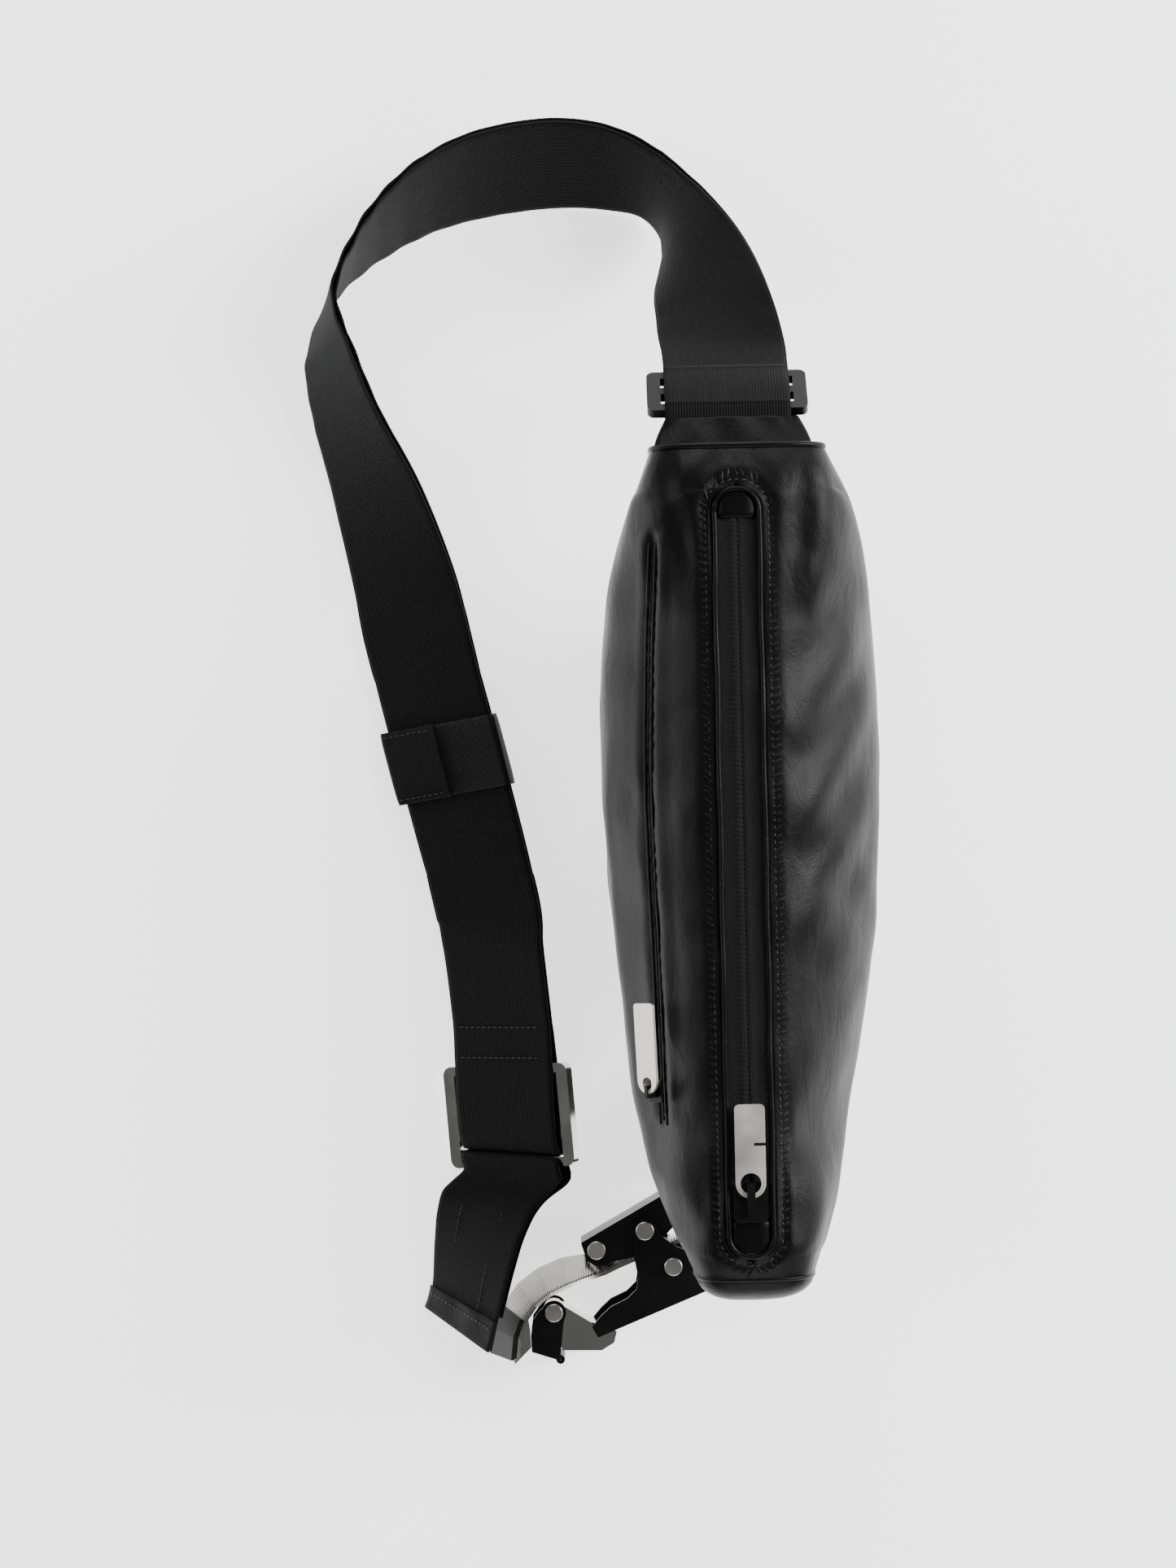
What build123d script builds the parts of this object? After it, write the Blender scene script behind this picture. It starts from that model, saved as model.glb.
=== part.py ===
"""Padded leather sling bag with a webbing strap and a steel ratchet buckle.

The bag rests on its flat base. +Z is up, +Y runs along the main zip towards the strap's
slide buckle (the head end), +X is the front panel's side, and the origin is the centre of
the base on the table. Millimetres.
"""
from build123d import *
import os
from math import cos, sin, radians

# ---- bag body ------------------------------------------------------------------------
HALF_LENGTH = 172.0          # the body runs from -HALF_LENGTH to +HALF_LENGTH along Y
HEIGHT = 150.0
BASE_HALF_LENGTH = 105.0     # flat part of the base
END_RISE = 112.0             # height of the underside at the two ends
END_CURVE = 0.75             # how quickly the underside rises past the base
END_DROP = 7.0               # how far the top falls at the very ends
END_DROP_START = 158.0
GUSSET_HALF = 29.0           # half-width of the gusset band at mid length
GUSSET_TAPER = 3.0           # added at the head end, taken off at the foot end
WIDEST_Y = 60.0
FRONT_BULGE = 27.0           # how far each padded panel stands past the gusset
BACK_BULGE = 23.0
BULGE_POWER = 2.5
LEATHER = 1.2
FOAM = 4.8
LINING_INSET = 11.0
LINING = 0.8
BOARD = (30.0, 196.0, 1.8)
STATION_GAPS = (0.0, 45.0, 80.0, 105.0, 110.0, 120.0, 135.0, 152.0, 172.0)
PIPING_R = 1.3

# ---- main zip ------------------------------------------------------------------------
ZIP_HALF_SLOT = 8.0
ZIP_HEAD_Y = 140.0           # ends of the visible tape
ZIP_FOOT_Y = -138.0
SLOT_HEAD_Y = 151.0
SLOT_FOOT_Y = -150.0
STOP_ROOM = 0.6              # gap between the leather stops and the slot round them
TAPE = 0.8
TAPE_HALF = 13.0
TAPE_GAP = 1.2               # between the two tape edges, where the slider's post runs
COIL_R = 1.3
SLIDER = (13.6, 16.0, 1.4)
SLIDER_Y = -130.0
POST = 0.9
BRIDGE = (3.2, 12.6, 1.3)
BRIDGE_START = -4.6          # from the slider's middle, like the pull's pivot
PULL_PIVOT = 2.8
BRIDGE_ROOM = 2.6            # free height under the bridge
PULL = (12.0, 37.0, 1.5)
PULL_HOLE_R = 4.1
PULL_RIM = 1.8
PULL_NOTCH = (4.5, 1.2)

# ---- pocket zip ----------------------------------------------------------------------
POCKET_HEAD_Y = 128.0
POCKET_FOOT_Y = -96.0
POCKET_Z = 129.0
POCKET_TILT = 42.0           # the zip's outward normal above the horizontal, in degrees
POCKET_SLOT = 10.0
POCKET_SLIDER = (7.0, 9.0, 1.2)
POCKET_SLIDER_Y = -87.0
POCKET_PULL = (11.0, 36.0, 1.2)
POCKET_COIL_R = 0.9
POCKET_HINGE_Z = 3.9         # height of the pull's pivot above the slider's middle
POCKET_LUG = (5.0, 1.6, 5.6)
POCKET_EYE_R = 1.15
POUCH_Z = (34.0, 122.0)

# ---- webbing -------------------------------------------------------------------------
WEBBING = 50.0
WEB_T = 1.3
BAR = 4.0                    # square bars of the slide buckle and of the adjuster
LOOP_R = 3.2                 # inside radius of the webbing where it turns round a bar
LAID = 1.0                   # half the distance between the strap's two layers
AT_BAR = LOOP_R + WEB_T / 2  # the same, where they part to pass round a bar

SLIDE_CENTRE = (-2.0, 191.0, 125.0)
SLIDE_TILT = 45.0
SLIDE_SIZE = (64.0, 24.0)
SLOT_WIDTH = 53.0
RING_SIZE = (64.0, 44.0)
RING_BARS = (-20.0, 8.0, 20.0)     # top, middle and bottom bars, from the ring's centre
TAB_END_Y = 178.0
TAB_Z = (124.0, 140.0)

# Stations along the strap: a point on its lower edge and one on its upper edge.
DESCENT = [
    ((-27.0, 198.1, 117.9), (23.0, 198.1, 117.9)),
    ((-26.5, 211.0, 103.0), (22.0, 210.0, 109.0)),
    ((-26.0, 227.0, 82.0), (16.5, 225.0, 104.0)),
    ((-25.0, 243.0, 60.0), (9.0, 240.0, 96.0)),
    ((-24.5, 260.0, 36.0), (-1.0, 257.0, 80.0)),
    ((-24.0, 273.0, 15.0), (-13.0, 277.0, 63.0)),
    ((-29.0, 281.0, 4.0), (-22.0, 294.0, 52.0)),
]
ARCH = [
    DESCENT[-1],
    ((-42.0, 284.5, 2.5), (-36.0, 310.0, 45.0)),
    ((-67.0, 286.5, 2.5), (-64.0, 317.0, 42.0)),
    ((-95.0, 284.0, 2.5), (-98.0, 313.0, 43.0)),
    ((-120.0, 278.5, 2.5), (-124.0, 301.0, 47.0)),
    ((-140.0, 270.0, 2.5), (-144.0, 283.0, 50.0)),
    ((-157.0, 259.0, 2.5), (-157.0, 263.0, 52.0)),
    ((-170.0, 245.0, 2.5), (-163.0, 245.0, 52.0)),
]
RUN = [
    ARCH[-1],
    ((-179.0, 226.0, 2.5), (-157.5, 226.0, 47.5)),
    ((-177.0, 200.0, 2.5), (-146.5, 196.0, 42.0)),
    ((-169.0, 167.0, 3.0), (-129.5, 161.0, 33.0)),
    ((-160.0, 130.0, 4.5), (-116.0, 121.0, 26.0)),
    ((-153.0, 97.0, 7.0), (-108.3, 86.5, 27.0)),
    ((-129.6, 0.0, 7.0), (-84.9, -10.5, 27.0)),
    ((-124.0, -30.0, 5.0), (-82.0, -35.0, 31.0)),
    ((-120.5, -66.0, 4.5), (-78.5, -68.0, 31.5)),
    ((-119.6, -80.0, 4.5), (-77.6, -81.0, 31.5)),
    ((-117.3, -113.0, 4.5), (-75.3, -114.0, 31.5)),
]
RUN_SPREAD = [LAID] * 8 + [2.6, AT_BAR, AT_BAR]
TAIL = [
    ((-127.5, -142.0, 3.5), (-83.5, -139.5, 26.5)),
    ((-130.5, -153.5, 3.5), (-90.5, -149.0, 32.0)),
    ((-131.0, -166.0, 3.5), (-96.0, -163.0, 38.0)),
    ((-131.0, -179.0, 3.5), (-101.5, -183.0, 43.0)),
    ((-133.0, -189.5, 3.5), (-106.0, -203.0, 43.0)),
]
TAIL_LEAD = 6.0              # how far the tail leaves the ring before it starts to twist
TAIL_SPREAD = [AT_BAR, 3.85, 1.4, LAID, LAID, LAID, LAID]
CAP_T = 1.3
KEEPER_LENGTH = 31.0
KEEPER_AT = 0.45             # share of the straight stretch, from its head end
KEEPER_SPAN = (5, 6)         # the stations of RUN that bound the stretch
KEEPER_ROOM = 0.8
KEEPER_WALL = 1.2
KEEPER_LEATHER = 28.0        # width of the leather part, from the strap's lower edge

# ---- ratchet buckle, in its own axes: x along the base's back, y towards the lever ------
LEVER_PIVOT = (-40.5, -155.0)
BUCKLE_ANGLE = 22.0
BAND_WIDTH = 20.0
BAND_T = 1.6
BAND_Z = 14.8                # middle of the band's width where it stands upright
TOOTH = 0.8
TOOTH_PITCH = 1.1
SHEET_T = 1.5
LEVER_T = 1.3
BASE_Z = (1.5, 28.1)         # outsides of the base's two cheeks
LEVER_Z = (3.2, 26.4)
PIN_R = 2.4
PIN_PLAY = 0.06
HEAD_R = 3.9
HEAD_T = 1.4
PAWL_PIVOT = (-22.3, 0.3)
CAM_PIVOT = (5.2, -18.8)
REAR_PIN = (26.0, -24.0)
CATCH_PIVOT = (-49.7, -17.5)
BACK_Y = -34.0               # outside of the base's back
BASE_END_X = 31.0            # the base's end beside the bag

# The band's middle line: x, y and how far its top leans towards the base, in degrees.
BAND = [
    (16.0, -10.0, 0.0),
    (-16.5, -10.0, 0.0),
    (-22.0, -8.8, 10.0),
    (-30.0, -6.0, 23.0),
    (-39.0, -4.5, 30.0),
    (-49.0, -4.8, 31.0),
    (-58.0, -7.2, 32.0),
    (-65.5, -12.0, 32.0),
    (-71.5, -19.0, 30.0),
    (-76.0, -28.0, 28.0),
]

os.makedirs("parts", exist_ok=True)


def save(name, shape):
    """Writes one sub-part."""
    shape.label = name
    export_step(shape, f"parts/{name}.step")


def group(*solids):
    """Several separate solids kept as one sub-part."""
    return Compound(children=list(solids))


# ---- ribbons: webbing and the buckle's band --------------------------------------------
def edges_to_frames(stations, width, kept=0):
    """Centre, across and normal at each station, the normal facing the strap loop's inside.

    Across is squared to the ribbon's run, except at the first kept stations.
    """
    centres = [(Vector(*a) + Vector(*b)) * 0.5 for a, b in stations]
    frames = []
    last = len(stations) - 1
    for i, (a, b) in enumerate(stations):
        across = (Vector(*b) - Vector(*a)).normalized()
        along = (centres[min(i + 1, last)] - centres[max(i - 1, 0)]).normalized()
        normal = across.cross(along).normalized()
        if i >= kept:
            across = along.cross(normal).normalized()
        frames.append((centres[i], across * (width / 2), normal))
    return frames


def ribbon(frames, low, high):
    """A ruled band between two distances along the normals, each a number or one per station."""
    lows = low if isinstance(low, list) else [low] * len(frames)
    highs = high if isinstance(high, list) else [high] * len(frames)
    sections = []
    for (centre, half, normal), near, far in zip(frames, lows, highs):
        corners = [
            centre - half + normal * near,
            centre + half + normal * near,
            centre + half + normal * far,
            centre - half + normal * far,
        ]
        sections.append(Face(Wire.make_polygon(corners, close=True)))
    solid = loft(sections, ruled=True).solid()
    return solid if solid.volume > 0 else Solid(solid.wrapped.Reversed())


def layer(frames, spread, side):
    """One of the strap's two layers, its middle at spread from the strap's middle."""
    spreads = spread if isinstance(spread, list) else [spread] * len(frames)
    near = [side * s - WEB_T / 2 for s in spreads]
    far = [side * s + WEB_T / 2 for s in spreads]
    return ribbon(frames, near, far)


def turn(centre, across, opening, width):
    """Webbing turned half round a bar: centre of the bar, its direction, and where the ends go."""
    plane = Plane(origin=centre - across * (width / 2), x_dir=opening, z_dir=across)
    outer = Circle(LOOP_R + WEB_T) - Circle(LOOP_R)
    half = outer & Pos(-LOOP_R - WEB_T, 0) * Rectangle(2 * (LOOP_R + WEB_T), 4 * (LOOP_R + WEB_T))
    return extrude(plane * half, amount=width)


def bar_frame(plane, size, bars, corner):
    """A flat buckle: a rounded plate with square bars left between its slots."""
    plate = RectangleRounded(*size, corner)
    for near, far in zip(bars, bars[1:]):
        gap = far - near - BAR
        plate -= Pos(0, (near + far) / 2) * Rectangle(SLOT_WIDTH, gap)
    solid = extrude(plane * plate, amount=BAR / 2, both=True)
    return solid


# ---- bag body --------------------------------------------------------------------------
def gusset_half(y):
    return GUSSET_HALF + GUSSET_TAPER * y / HALF_LENGTH


def bulge_share(y):
    """1 where the bag is fullest, 0 at its two ends."""
    reach = HALF_LENGTH - WIDEST_Y if y > WIDEST_Y else HALF_LENGTH + WIDEST_Y
    return 1 - min(1.0, abs(y - WIDEST_Y) / reach) ** BULGE_POWER


def underside(y):
    past = max(0.0, abs(y) - BASE_HALF_LENGTH) / (HALF_LENGTH - BASE_HALF_LENGTH)
    return END_RISE * past ** END_CURVE


def topside(y):
    past = max(0.0, abs(y) - END_DROP_START) / (HALF_LENGTH - END_DROP_START)
    return HEIGHT - END_DROP * past ** 2


def body_section(y, inset):
    """The closed outline across the bag at y, taken in by inset on every side."""
    share = bulge_share(y)
    half = gusset_half(y) - inset
    low, high = underside(y) + inset, topside(y) - inset
    middle = (low + high) / 2
    front = gusset_half(y) + FRONT_BULGE * share + 0.5 - inset
    back = gusset_half(y) + BACK_BULGE * share + 0.5 - inset
    y_in = max(-HALF_LENGTH + inset, min(HALF_LENGTH - inset, y))
    outline = Wire([
        Line((-half, y_in, low), (half, y_in, low)),
        ThreePointArc((half, y_in, low), (front, y_in, middle), (half, y_in, high)),
        Line((half, y_in, high), (-half, y_in, high)),
        ThreePointArc((-half, y_in, high), (-back, y_in, middle), (-half, y_in, low)),
    ])
    return Face(outline)


def body(inset):
    """The whole bag as one closed solid, taken in by inset."""
    places = sorted({side * gap for gap in STATION_GAPS for side in (-1, 1)})
    return loft([body_section(y, inset) for y in places], ruled=True)


def side_x(y, z, bulge):
    """Distance of a padded panel's outside from the middle plane at y and z."""
    half = gusset_half(y)
    out = bulge * bulge_share(y) + 0.5
    low, high = underside(y), topside(y)
    chord = (high - low) / 2
    radius = (chord ** 2 + out ** 2) / (2 * out)
    off = z - (low + high) / 2
    return half + out - radius + (radius ** 2 - off ** 2) ** 0.5


def gusset_wedge():
    """The tapered space between the two seams that run round the bag."""
    foot, head = -HALF_LENGTH - 20, HALF_LENGTH + 20
    outline = Polyline(
        (-gusset_half(foot), foot), (gusset_half(foot), foot),
        (gusset_half(head), head), (-gusset_half(head), head), close=True)
    return extrude(make_face(outline), amount=2 * HEIGHT)


def block(x, y, z):
    """A box given by its limits along each axis."""
    size = (x[1] - x[0], y[1] - y[0], z[1] - z[0])
    return Pos((x[0] + x[1]) / 2, (y[0] + y[1]) / 2, (z[0] + z[1]) / 2) * Box(*size)


def pocket_plane(y):
    """Axes of the pocket zip at y: x along the zip, y across it, z out of the bag."""
    ends = (POCKET_FOOT_Y, POCKET_HEAD_Y)
    xs = [-side_x(e, POCKET_Z, BACK_BULGE) for e in ends]
    slope = (xs[1] - xs[0]) / (ends[1] - ends[0])
    at = Vector(xs[0] + slope * (y - ends[0]) - POCKET_SINK, y, POCKET_Z)
    along = Vector(slope, 1, 0).normalized()
    out = Vector(-cos(radians(POCKET_TILT)), 0, sin(radians(POCKET_TILT)))
    out = (out - along * out.dot(along)).normalized()
    return Plane(origin=at, x_dir=along, z_dir=out)


POCKET_SINK = 1.2            # the panel bulges past the straight line between the zip's ends
POCKET_MID_Y = (POCKET_HEAD_Y + POCKET_FOOT_Y) / 2
POCKET_LENGTH = POCKET_HEAD_Y - POCKET_FOOT_Y
FAR = 400.0

wedge = gusset_wedge()
outer = body(0)
under_leather = body(LEATHER)
under_foam = body(LEATHER + FOAM)
shell = outer - under_leather
foam_shell = body(LEATHER + 0.02) - under_foam

zip_slot = block((-ZIP_HALF_SLOT, ZIP_HALF_SLOT), (SLOT_FOOT_Y, SLOT_HEAD_Y), (HEIGHT - 20, HEIGHT + 9))
zip_slot = zip_slot.fillet(ZIP_HALF_SLOT - 0.5, zip_slot.edges().filter_by(Axis.Z))
pocket_slot = pocket_plane(POCKET_MID_Y) * Box(POCKET_LENGTH + 6, POCKET_SLOT, 26)
GUSSET_FLOOR = HEIGHT - 10.0
top_zone = block((-FAR, FAR), (-FAR, FAR), (GUSSET_FLOOR, FAR))
head_zone = block((-FAR, FAR), (130.0, FAR), (-FAR, GUSSET_FLOOR))
foot_zone = block((-FAR, FAR), (-FAR, -130.0), (-FAR, GUSSET_FLOOR))
front_zone = block((0, FAR), (-FAR, FAR), (-FAR, FAR))
back_zone = block((-FAR, 0), (-FAR, FAR), (-FAR, FAR))

band_shell = shell & wedge
sides = shell - wedge
save("zip_gusset", (band_shell & top_zone) - zip_slot)
save("head_end_panel", band_shell & head_zone)
save("foot_end_panel", band_shell & foot_zone)
save("base_gusset", band_shell - top_zone - head_zone - foot_zone)
save("front_panel", sides & front_zone)
save("back_panel", (sides & back_zone) - pocket_slot)
foam_sides = foam_shell - wedge
save("front_padding", foam_sides & front_zone)
save("back_padding", (foam_sides & back_zone) - pocket_slot)

lining_out = body(LINING_INSET)
lining_in = body(LINING_INSET + LINING)
mouth = block((-ZIP_HALF_SLOT, ZIP_HALF_SLOT), (SLOT_FOOT_Y + 4, SLOT_HEAD_Y - 4), (HEIGHT - 30, HEIGHT))
save("lining", (lining_out - lining_in) - mouth)
board_z = LINING_INSET + LINING
save("base_board", Pos(0, 0, board_z + BOARD[2] / 2) * Box(*BOARD))

pouch_zone = block((-FAR, -20.0), (POCKET_FOOT_Y + 6, POCKET_HEAD_Y - 6), POUCH_Z)
pouch = (body(LEATHER + FOAM + 0.4) - body(LINING_INSET - 0.4)) & pouch_zone
hollow_zone = block((-FAR, -20.0), (POCKET_FOOT_Y + 8, POCKET_HEAD_Y - 8), (POUCH_Z[0] + 2, POUCH_Z[1] + 9))
hollow = (body(LEATHER + FOAM + 1.1) - body(LINING_INSET - 1.1)) & hollow_zone
save("pocket_pouch", pouch - hollow - wedge)


# ---- piping: thin corded edges along the two end seams ------------------------------------
def end_piping(y, z):
    """Piping across an end of the bag, from one gusset seam over the top edge to the other."""
    half = gusset_half(y)
    path = FilletPolyline(
        (-half, y, z - 14), (-half + 2, y, z - 1), (half - 2, y, z - 1), (half, y, z - 14), radius=3)
    return sweep(Plane(origin=path @ 0, z_dir=path % 0) * Circle(PIPING_R), path=path)


PIPING_OUT = HALF_LENGTH + PIPING_R + 0.05
save("end_piping", group(
    end_piping(PIPING_OUT, topside(HALF_LENGTH)), end_piping(-PIPING_OUT, topside(HALF_LENGTH))))

# ---- main zip ----------------------------------------------------------------------------
tape_top = HEIGHT - LEATHER - 0.05
tape_low = tape_top - TAPE
coil_z = tape_low - COIL_R - 0.02
for side, word in ((-1, "left"), (1, "right")):
    xs = sorted((side * TAPE_GAP / 2, side * TAPE_HALF))
    save(f"zip_tape_{word}", block(xs, (SLOT_FOOT_Y - 1, SLOT_HEAD_Y + 0.9), (tape_low, tape_top)))
    start = (side * (TAPE_GAP / 2 + COIL_R), ZIP_FOOT_Y, coil_z)
    coil = Plane(origin=start, z_dir=(0, 1, 0)) * Cylinder(
        COIL_R, ZIP_HEAD_Y - ZIP_FOOT_Y, align=(Align.CENTER, Align.CENTER, Align.MIN))
    save(f"zip_coil_{word}", coil)


stop_half = ZIP_HALF_SLOT - STOP_ROOM
stop_ends = (SLOT_FOOT_Y + STOP_ROOM, SLOT_HEAD_Y - STOP_ROOM)
stops = block((-stop_half, stop_half), stop_ends, (tape_top + 0.02, HEIGHT - 0.1))
stops = stops.fillet(stop_half - 0.5, stops.edges().filter_by(Axis.Z))
stops -= block((-FAR, FAR), (ZIP_FOOT_Y - 1, ZIP_HEAD_Y + 1), (0, FAR))
save("zip_stops", stops)

plate_low = tape_top + 0.25
plate_top = plate_low + SLIDER[2]
under_top = coil_z - COIL_R - 0.3
slider_plate = Pos(0, SLIDER_Y, plate_low) * extrude(RectangleRounded(SLIDER[0], SLIDER[1], 2.5), SLIDER[2])
under_plate = Pos(0, SLIDER_Y, under_top - 1.2) * extrude(RectangleRounded(9.0, SLIDER[1] - 2, 2.0), 1.2)
post = block((-POST / 2, POST / 2), (SLIDER_Y - 3, SLIDER_Y + 5), (under_top - 0.5, plate_low + 0.5))
bridge_y = (SLIDER_Y + BRIDGE_START, SLIDER_Y + BRIDGE_START + BRIDGE[1])
bridge_low = plate_top + BRIDGE_ROOM
bridge_x = (-BRIDGE[0] / 2, BRIDGE[0] / 2)
bridge = block(bridge_x, bridge_y, (bridge_low, bridge_low + BRIDGE[2]))
bridge += block(bridge_x, (bridge_y[0], bridge_y[0] + 1.8), (plate_top - 0.5, bridge_low + 0.5))
bridge += block(bridge_x, (bridge_y[1] - 1.8, bridge_y[1]), (plate_top - 0.5, bridge_low + 0.5))
save("zip_slider", slider_plate + under_plate + post + bridge)

pull_pivot = (0.0, SLIDER_Y + PULL_PIVOT, plate_top + BRIDGE_ROOM / 2)


def puller(size, hole_r, rim, corner):
    """A flat pull tab seen from above: the rim bar's middle is at the origin, +Y to its tip."""
    width, length, _ = size
    foot = -rim / 2
    shape = Pos(0, foot + width / 2) * Circle(width / 2)
    shape += Pos(0, foot + (width / 2 + length) / 2) * Rectangle(width, length - width / 2)
    corners = shape.vertices().group_by(Axis.Y)[-1]
    shape = fillet(corners, corner)
    return shape - Pos(0, foot + rim + hole_r) * Circle(hole_r)


pull_face = puller(PULL, PULL_HOLE_R, PULL_RIM, 2.0)
notch = Pos(PULL[0] / 2, 0.55 * PULL[1]) * Rectangle(2 * PULL_NOTCH[0], PULL_NOTCH[1])
pull = extrude(pull_face - notch, amount=PULL[2] / 2, both=True)
save("zip_pull", Pos(*pull_pivot) * pull)

# ---- pocket zip ----------------------------------------------------------------------------
pocket_mid = pocket_plane(POCKET_MID_Y)
strip = Box(POCKET_LENGTH - 4, POCKET_SLOT - 1.2, 0.8)
save("pocket_tape", pocket_mid * Pos(0, 0, -3.0) * strip)
pocket_coil = Rot(0, 90, 0) * Cylinder(POCKET_COIL_R, POCKET_LENGTH - 10)
save("pocket_coil", pocket_mid * Pos(0, 0, -1.65) * pocket_coil)

slider_at = pocket_plane(POCKET_SLIDER_Y)
saddle = Pos(0, 0, -0.1) * Box(POCKET_SLIDER[1], POCKET_SLIDER[0], POCKET_SLIDER[2])
pull_hinge = Pos(0, 0, POCKET_HINGE_Z)
lug = Pos(0, 0, POCKET_LUG[2] / 2) * Box(*POCKET_LUG)
lug -= pull_hinge * Rot(90, 0, 0) * Cylinder(POCKET_EYE_R, POCKET_LUG[0])
save("pocket_slider", slider_at * (saddle + lug))
pocket_pull_face = puller(POCKET_PULL, 2.6, 1.4, 1.5)
pocket_pull = extrude(pocket_pull_face, amount=POCKET_PULL[2] / 2, both=True)
save("pocket_pull", slider_at * pull_hinge * Rot(0, 0, -90) * pocket_pull)


# ---- strap ---------------------------------------------------------------------------------
slide_plane = Plane(
    origin=SLIDE_CENTRE, x_dir=(1, 0, 0),
    z_dir=(0, sin(radians(SLIDE_TILT)), cos(radians(SLIDE_TILT))))
slide_reach = SLIDE_SIZE[1] / 2 - BAR / 2
save("slide_buckle", bar_frame(slide_plane, SLIDE_SIZE, (-slide_reach, 0.0, slide_reach), 3.0))

pieces = {"descent": DESCENT, "arch": ARCH, "run": RUN}
WHOLE = DESCENT + ARCH[1:] + RUN[1:]
whole_frames = edges_to_frames(WHOLE, WEBBING)
slide_spread = [AT_BAR, 1.6] + [LAID] * (len(DESCENT) - 2)
spreads = slide_spread + [LAID] * (len(ARCH) - 1) + RUN_SPREAD[1:]
starts = {"descent": 0, "arch": len(DESCENT) - 1, "run": len(DESCENT) + len(ARCH) - 2}
for name, stations in pieces.items():
    first = starts[name]
    part_frames = whole_frames[first:first + len(stations)]
    part_spread = spreads[first:first + len(stations)]
    save(f"strap_outer_{name}", layer(part_frames, part_spread, -1))
    save(f"strap_inner_{name}", layer(part_frames, part_spread, 1))


def end_turn(frames, at_start):
    """The webbing's turn round a bar at one end of a pair of layers."""
    centre, half, normal = frames[0] if at_start else frames[-1]
    across = half.normalized()
    opening = normal.cross(across) if at_start else across.cross(normal)
    return turn(centre, across, opening.normalized(), WEBBING)


save("strap_end_turns", group(end_turn(whole_frames, True), end_turn(whole_frames, False)))

run_end = whole_frames[-1]
ring_along = (run_end[0] - whole_frames[-2][0]).normalized()
ring_plane = Plane(
    origin=run_end[0] - ring_along * RING_BARS[1],
    x_dir=ring_along.cross(run_end[2]), z_dir=run_end[2])
save("adjuster_ring", bar_frame(ring_plane, RING_SIZE, RING_BARS, 4.0))

tail_lead = []
for lead in (0.0, TAIL_LEAD):
    ends = (Vector(side * WEBBING / 2, RING_BARS[2] + lead, 0) for side in (-1, 1))
    tail_lead.append(tuple(tuple(ring_plane.from_local_coords(end)) for end in ends))
tail_frames = edges_to_frames(tail_lead + TAIL, WEBBING, len(tail_lead))
save("tail_webbing", layer(tail_frames, TAIL_SPREAD, -1))
save("band_webbing", layer(tail_frames[:-1], TAIL_SPREAD[:-1], 1))
save("tail_turn", end_turn(tail_frames, True))

cap_frames = [(c, h * (1 + CAP_T / h.length), n) for c, h, n in tail_frames[-2:]]
cap_face = LAID + WEB_T / 2 + 0.05
save("tail_cap", ribbon(cap_frames, -cap_face - CAP_T, -cap_face))

# ---- keeper: a flat loop that slides along the straight stretch of the strap -------------
span_head, span_foot = (whole_frames[starts["run"] + i] for i in KEEPER_SPAN)
keeper_along = (span_foot[0] - span_head[0]).normalized()
keeper_across = (span_head[1] + span_foot[1]).normalized()
keeper_at = span_head[0] + (span_foot[0] - span_head[0]) * KEEPER_AT
keeper_plane = Plane(
    origin=keeper_at - keeper_along * (KEEPER_LENGTH / 2),
    x_dir=keeper_across, z_dir=keeper_along)
room = (WEBBING + 2 * KEEPER_ROOM, 2 * (LAID + WEB_T / 2 + KEEPER_ROOM))
loop_size = (room[0] + 2 * KEEPER_WALL, room[1] + 2 * KEEPER_WALL)
cover_size = (loop_size[0] + 2 * KEEPER_WALL, loop_size[1] + 2 * KEEPER_WALL)
loop_out = RectangleRounded(*loop_size, 1.6)
keeper_loop = loop_out - Rectangle(*room)
save("keeper_webbing", extrude(keeper_plane * keeper_loop, amount=KEEPER_LENGTH))
cover = RectangleRounded(*cover_size, 2.4) - RectangleRounded(*loop_size, 1.6)
cover &= Pos(-cover_size[0] / 2, 0) * Rectangle(2 * KEEPER_LEATHER, 40)
save("keeper_leather", extrude(keeper_plane * cover, amount=KEEPER_LENGTH))

# ---- head tab: leather tab and webbing that hold the slide buckle --------------------------
near_bar = Vector(slide_plane.from_local_coords((0, -slide_reach, 0)))
tab_turn = turn(near_bar, Vector(1, 0, 0), Vector(0, -1, 0), WEBBING)
leg_x = (near_bar.X - WEBBING / 2, near_bar.X + WEBBING / 2)
leg_y = (TAB_END_Y, near_bar.Y)
upper_leg = block(leg_x, leg_y, (near_bar.Z + LOOP_R, near_bar.Z + LOOP_R + WEB_T))
lower_leg = block(leg_x, leg_y, (near_bar.Z - LOOP_R - WEB_T, near_bar.Z - LOOP_R))
save("head_tab_webbing", tab_turn + upper_leg + lower_leg)
tab_outline = Polyline(
    (-28.0, HALF_LENGTH), (28.0, HALF_LENGTH), (25.0, TAB_END_Y), (-28.0, TAB_END_Y), close=True)
tab = extrude(make_face(tab_outline), amount=TAB_Z[1] - TAB_Z[0], dir=(0, 0, 1))
save("head_tab_leather", Pos(0, 0, TAB_Z[0]) * tab)

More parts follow.
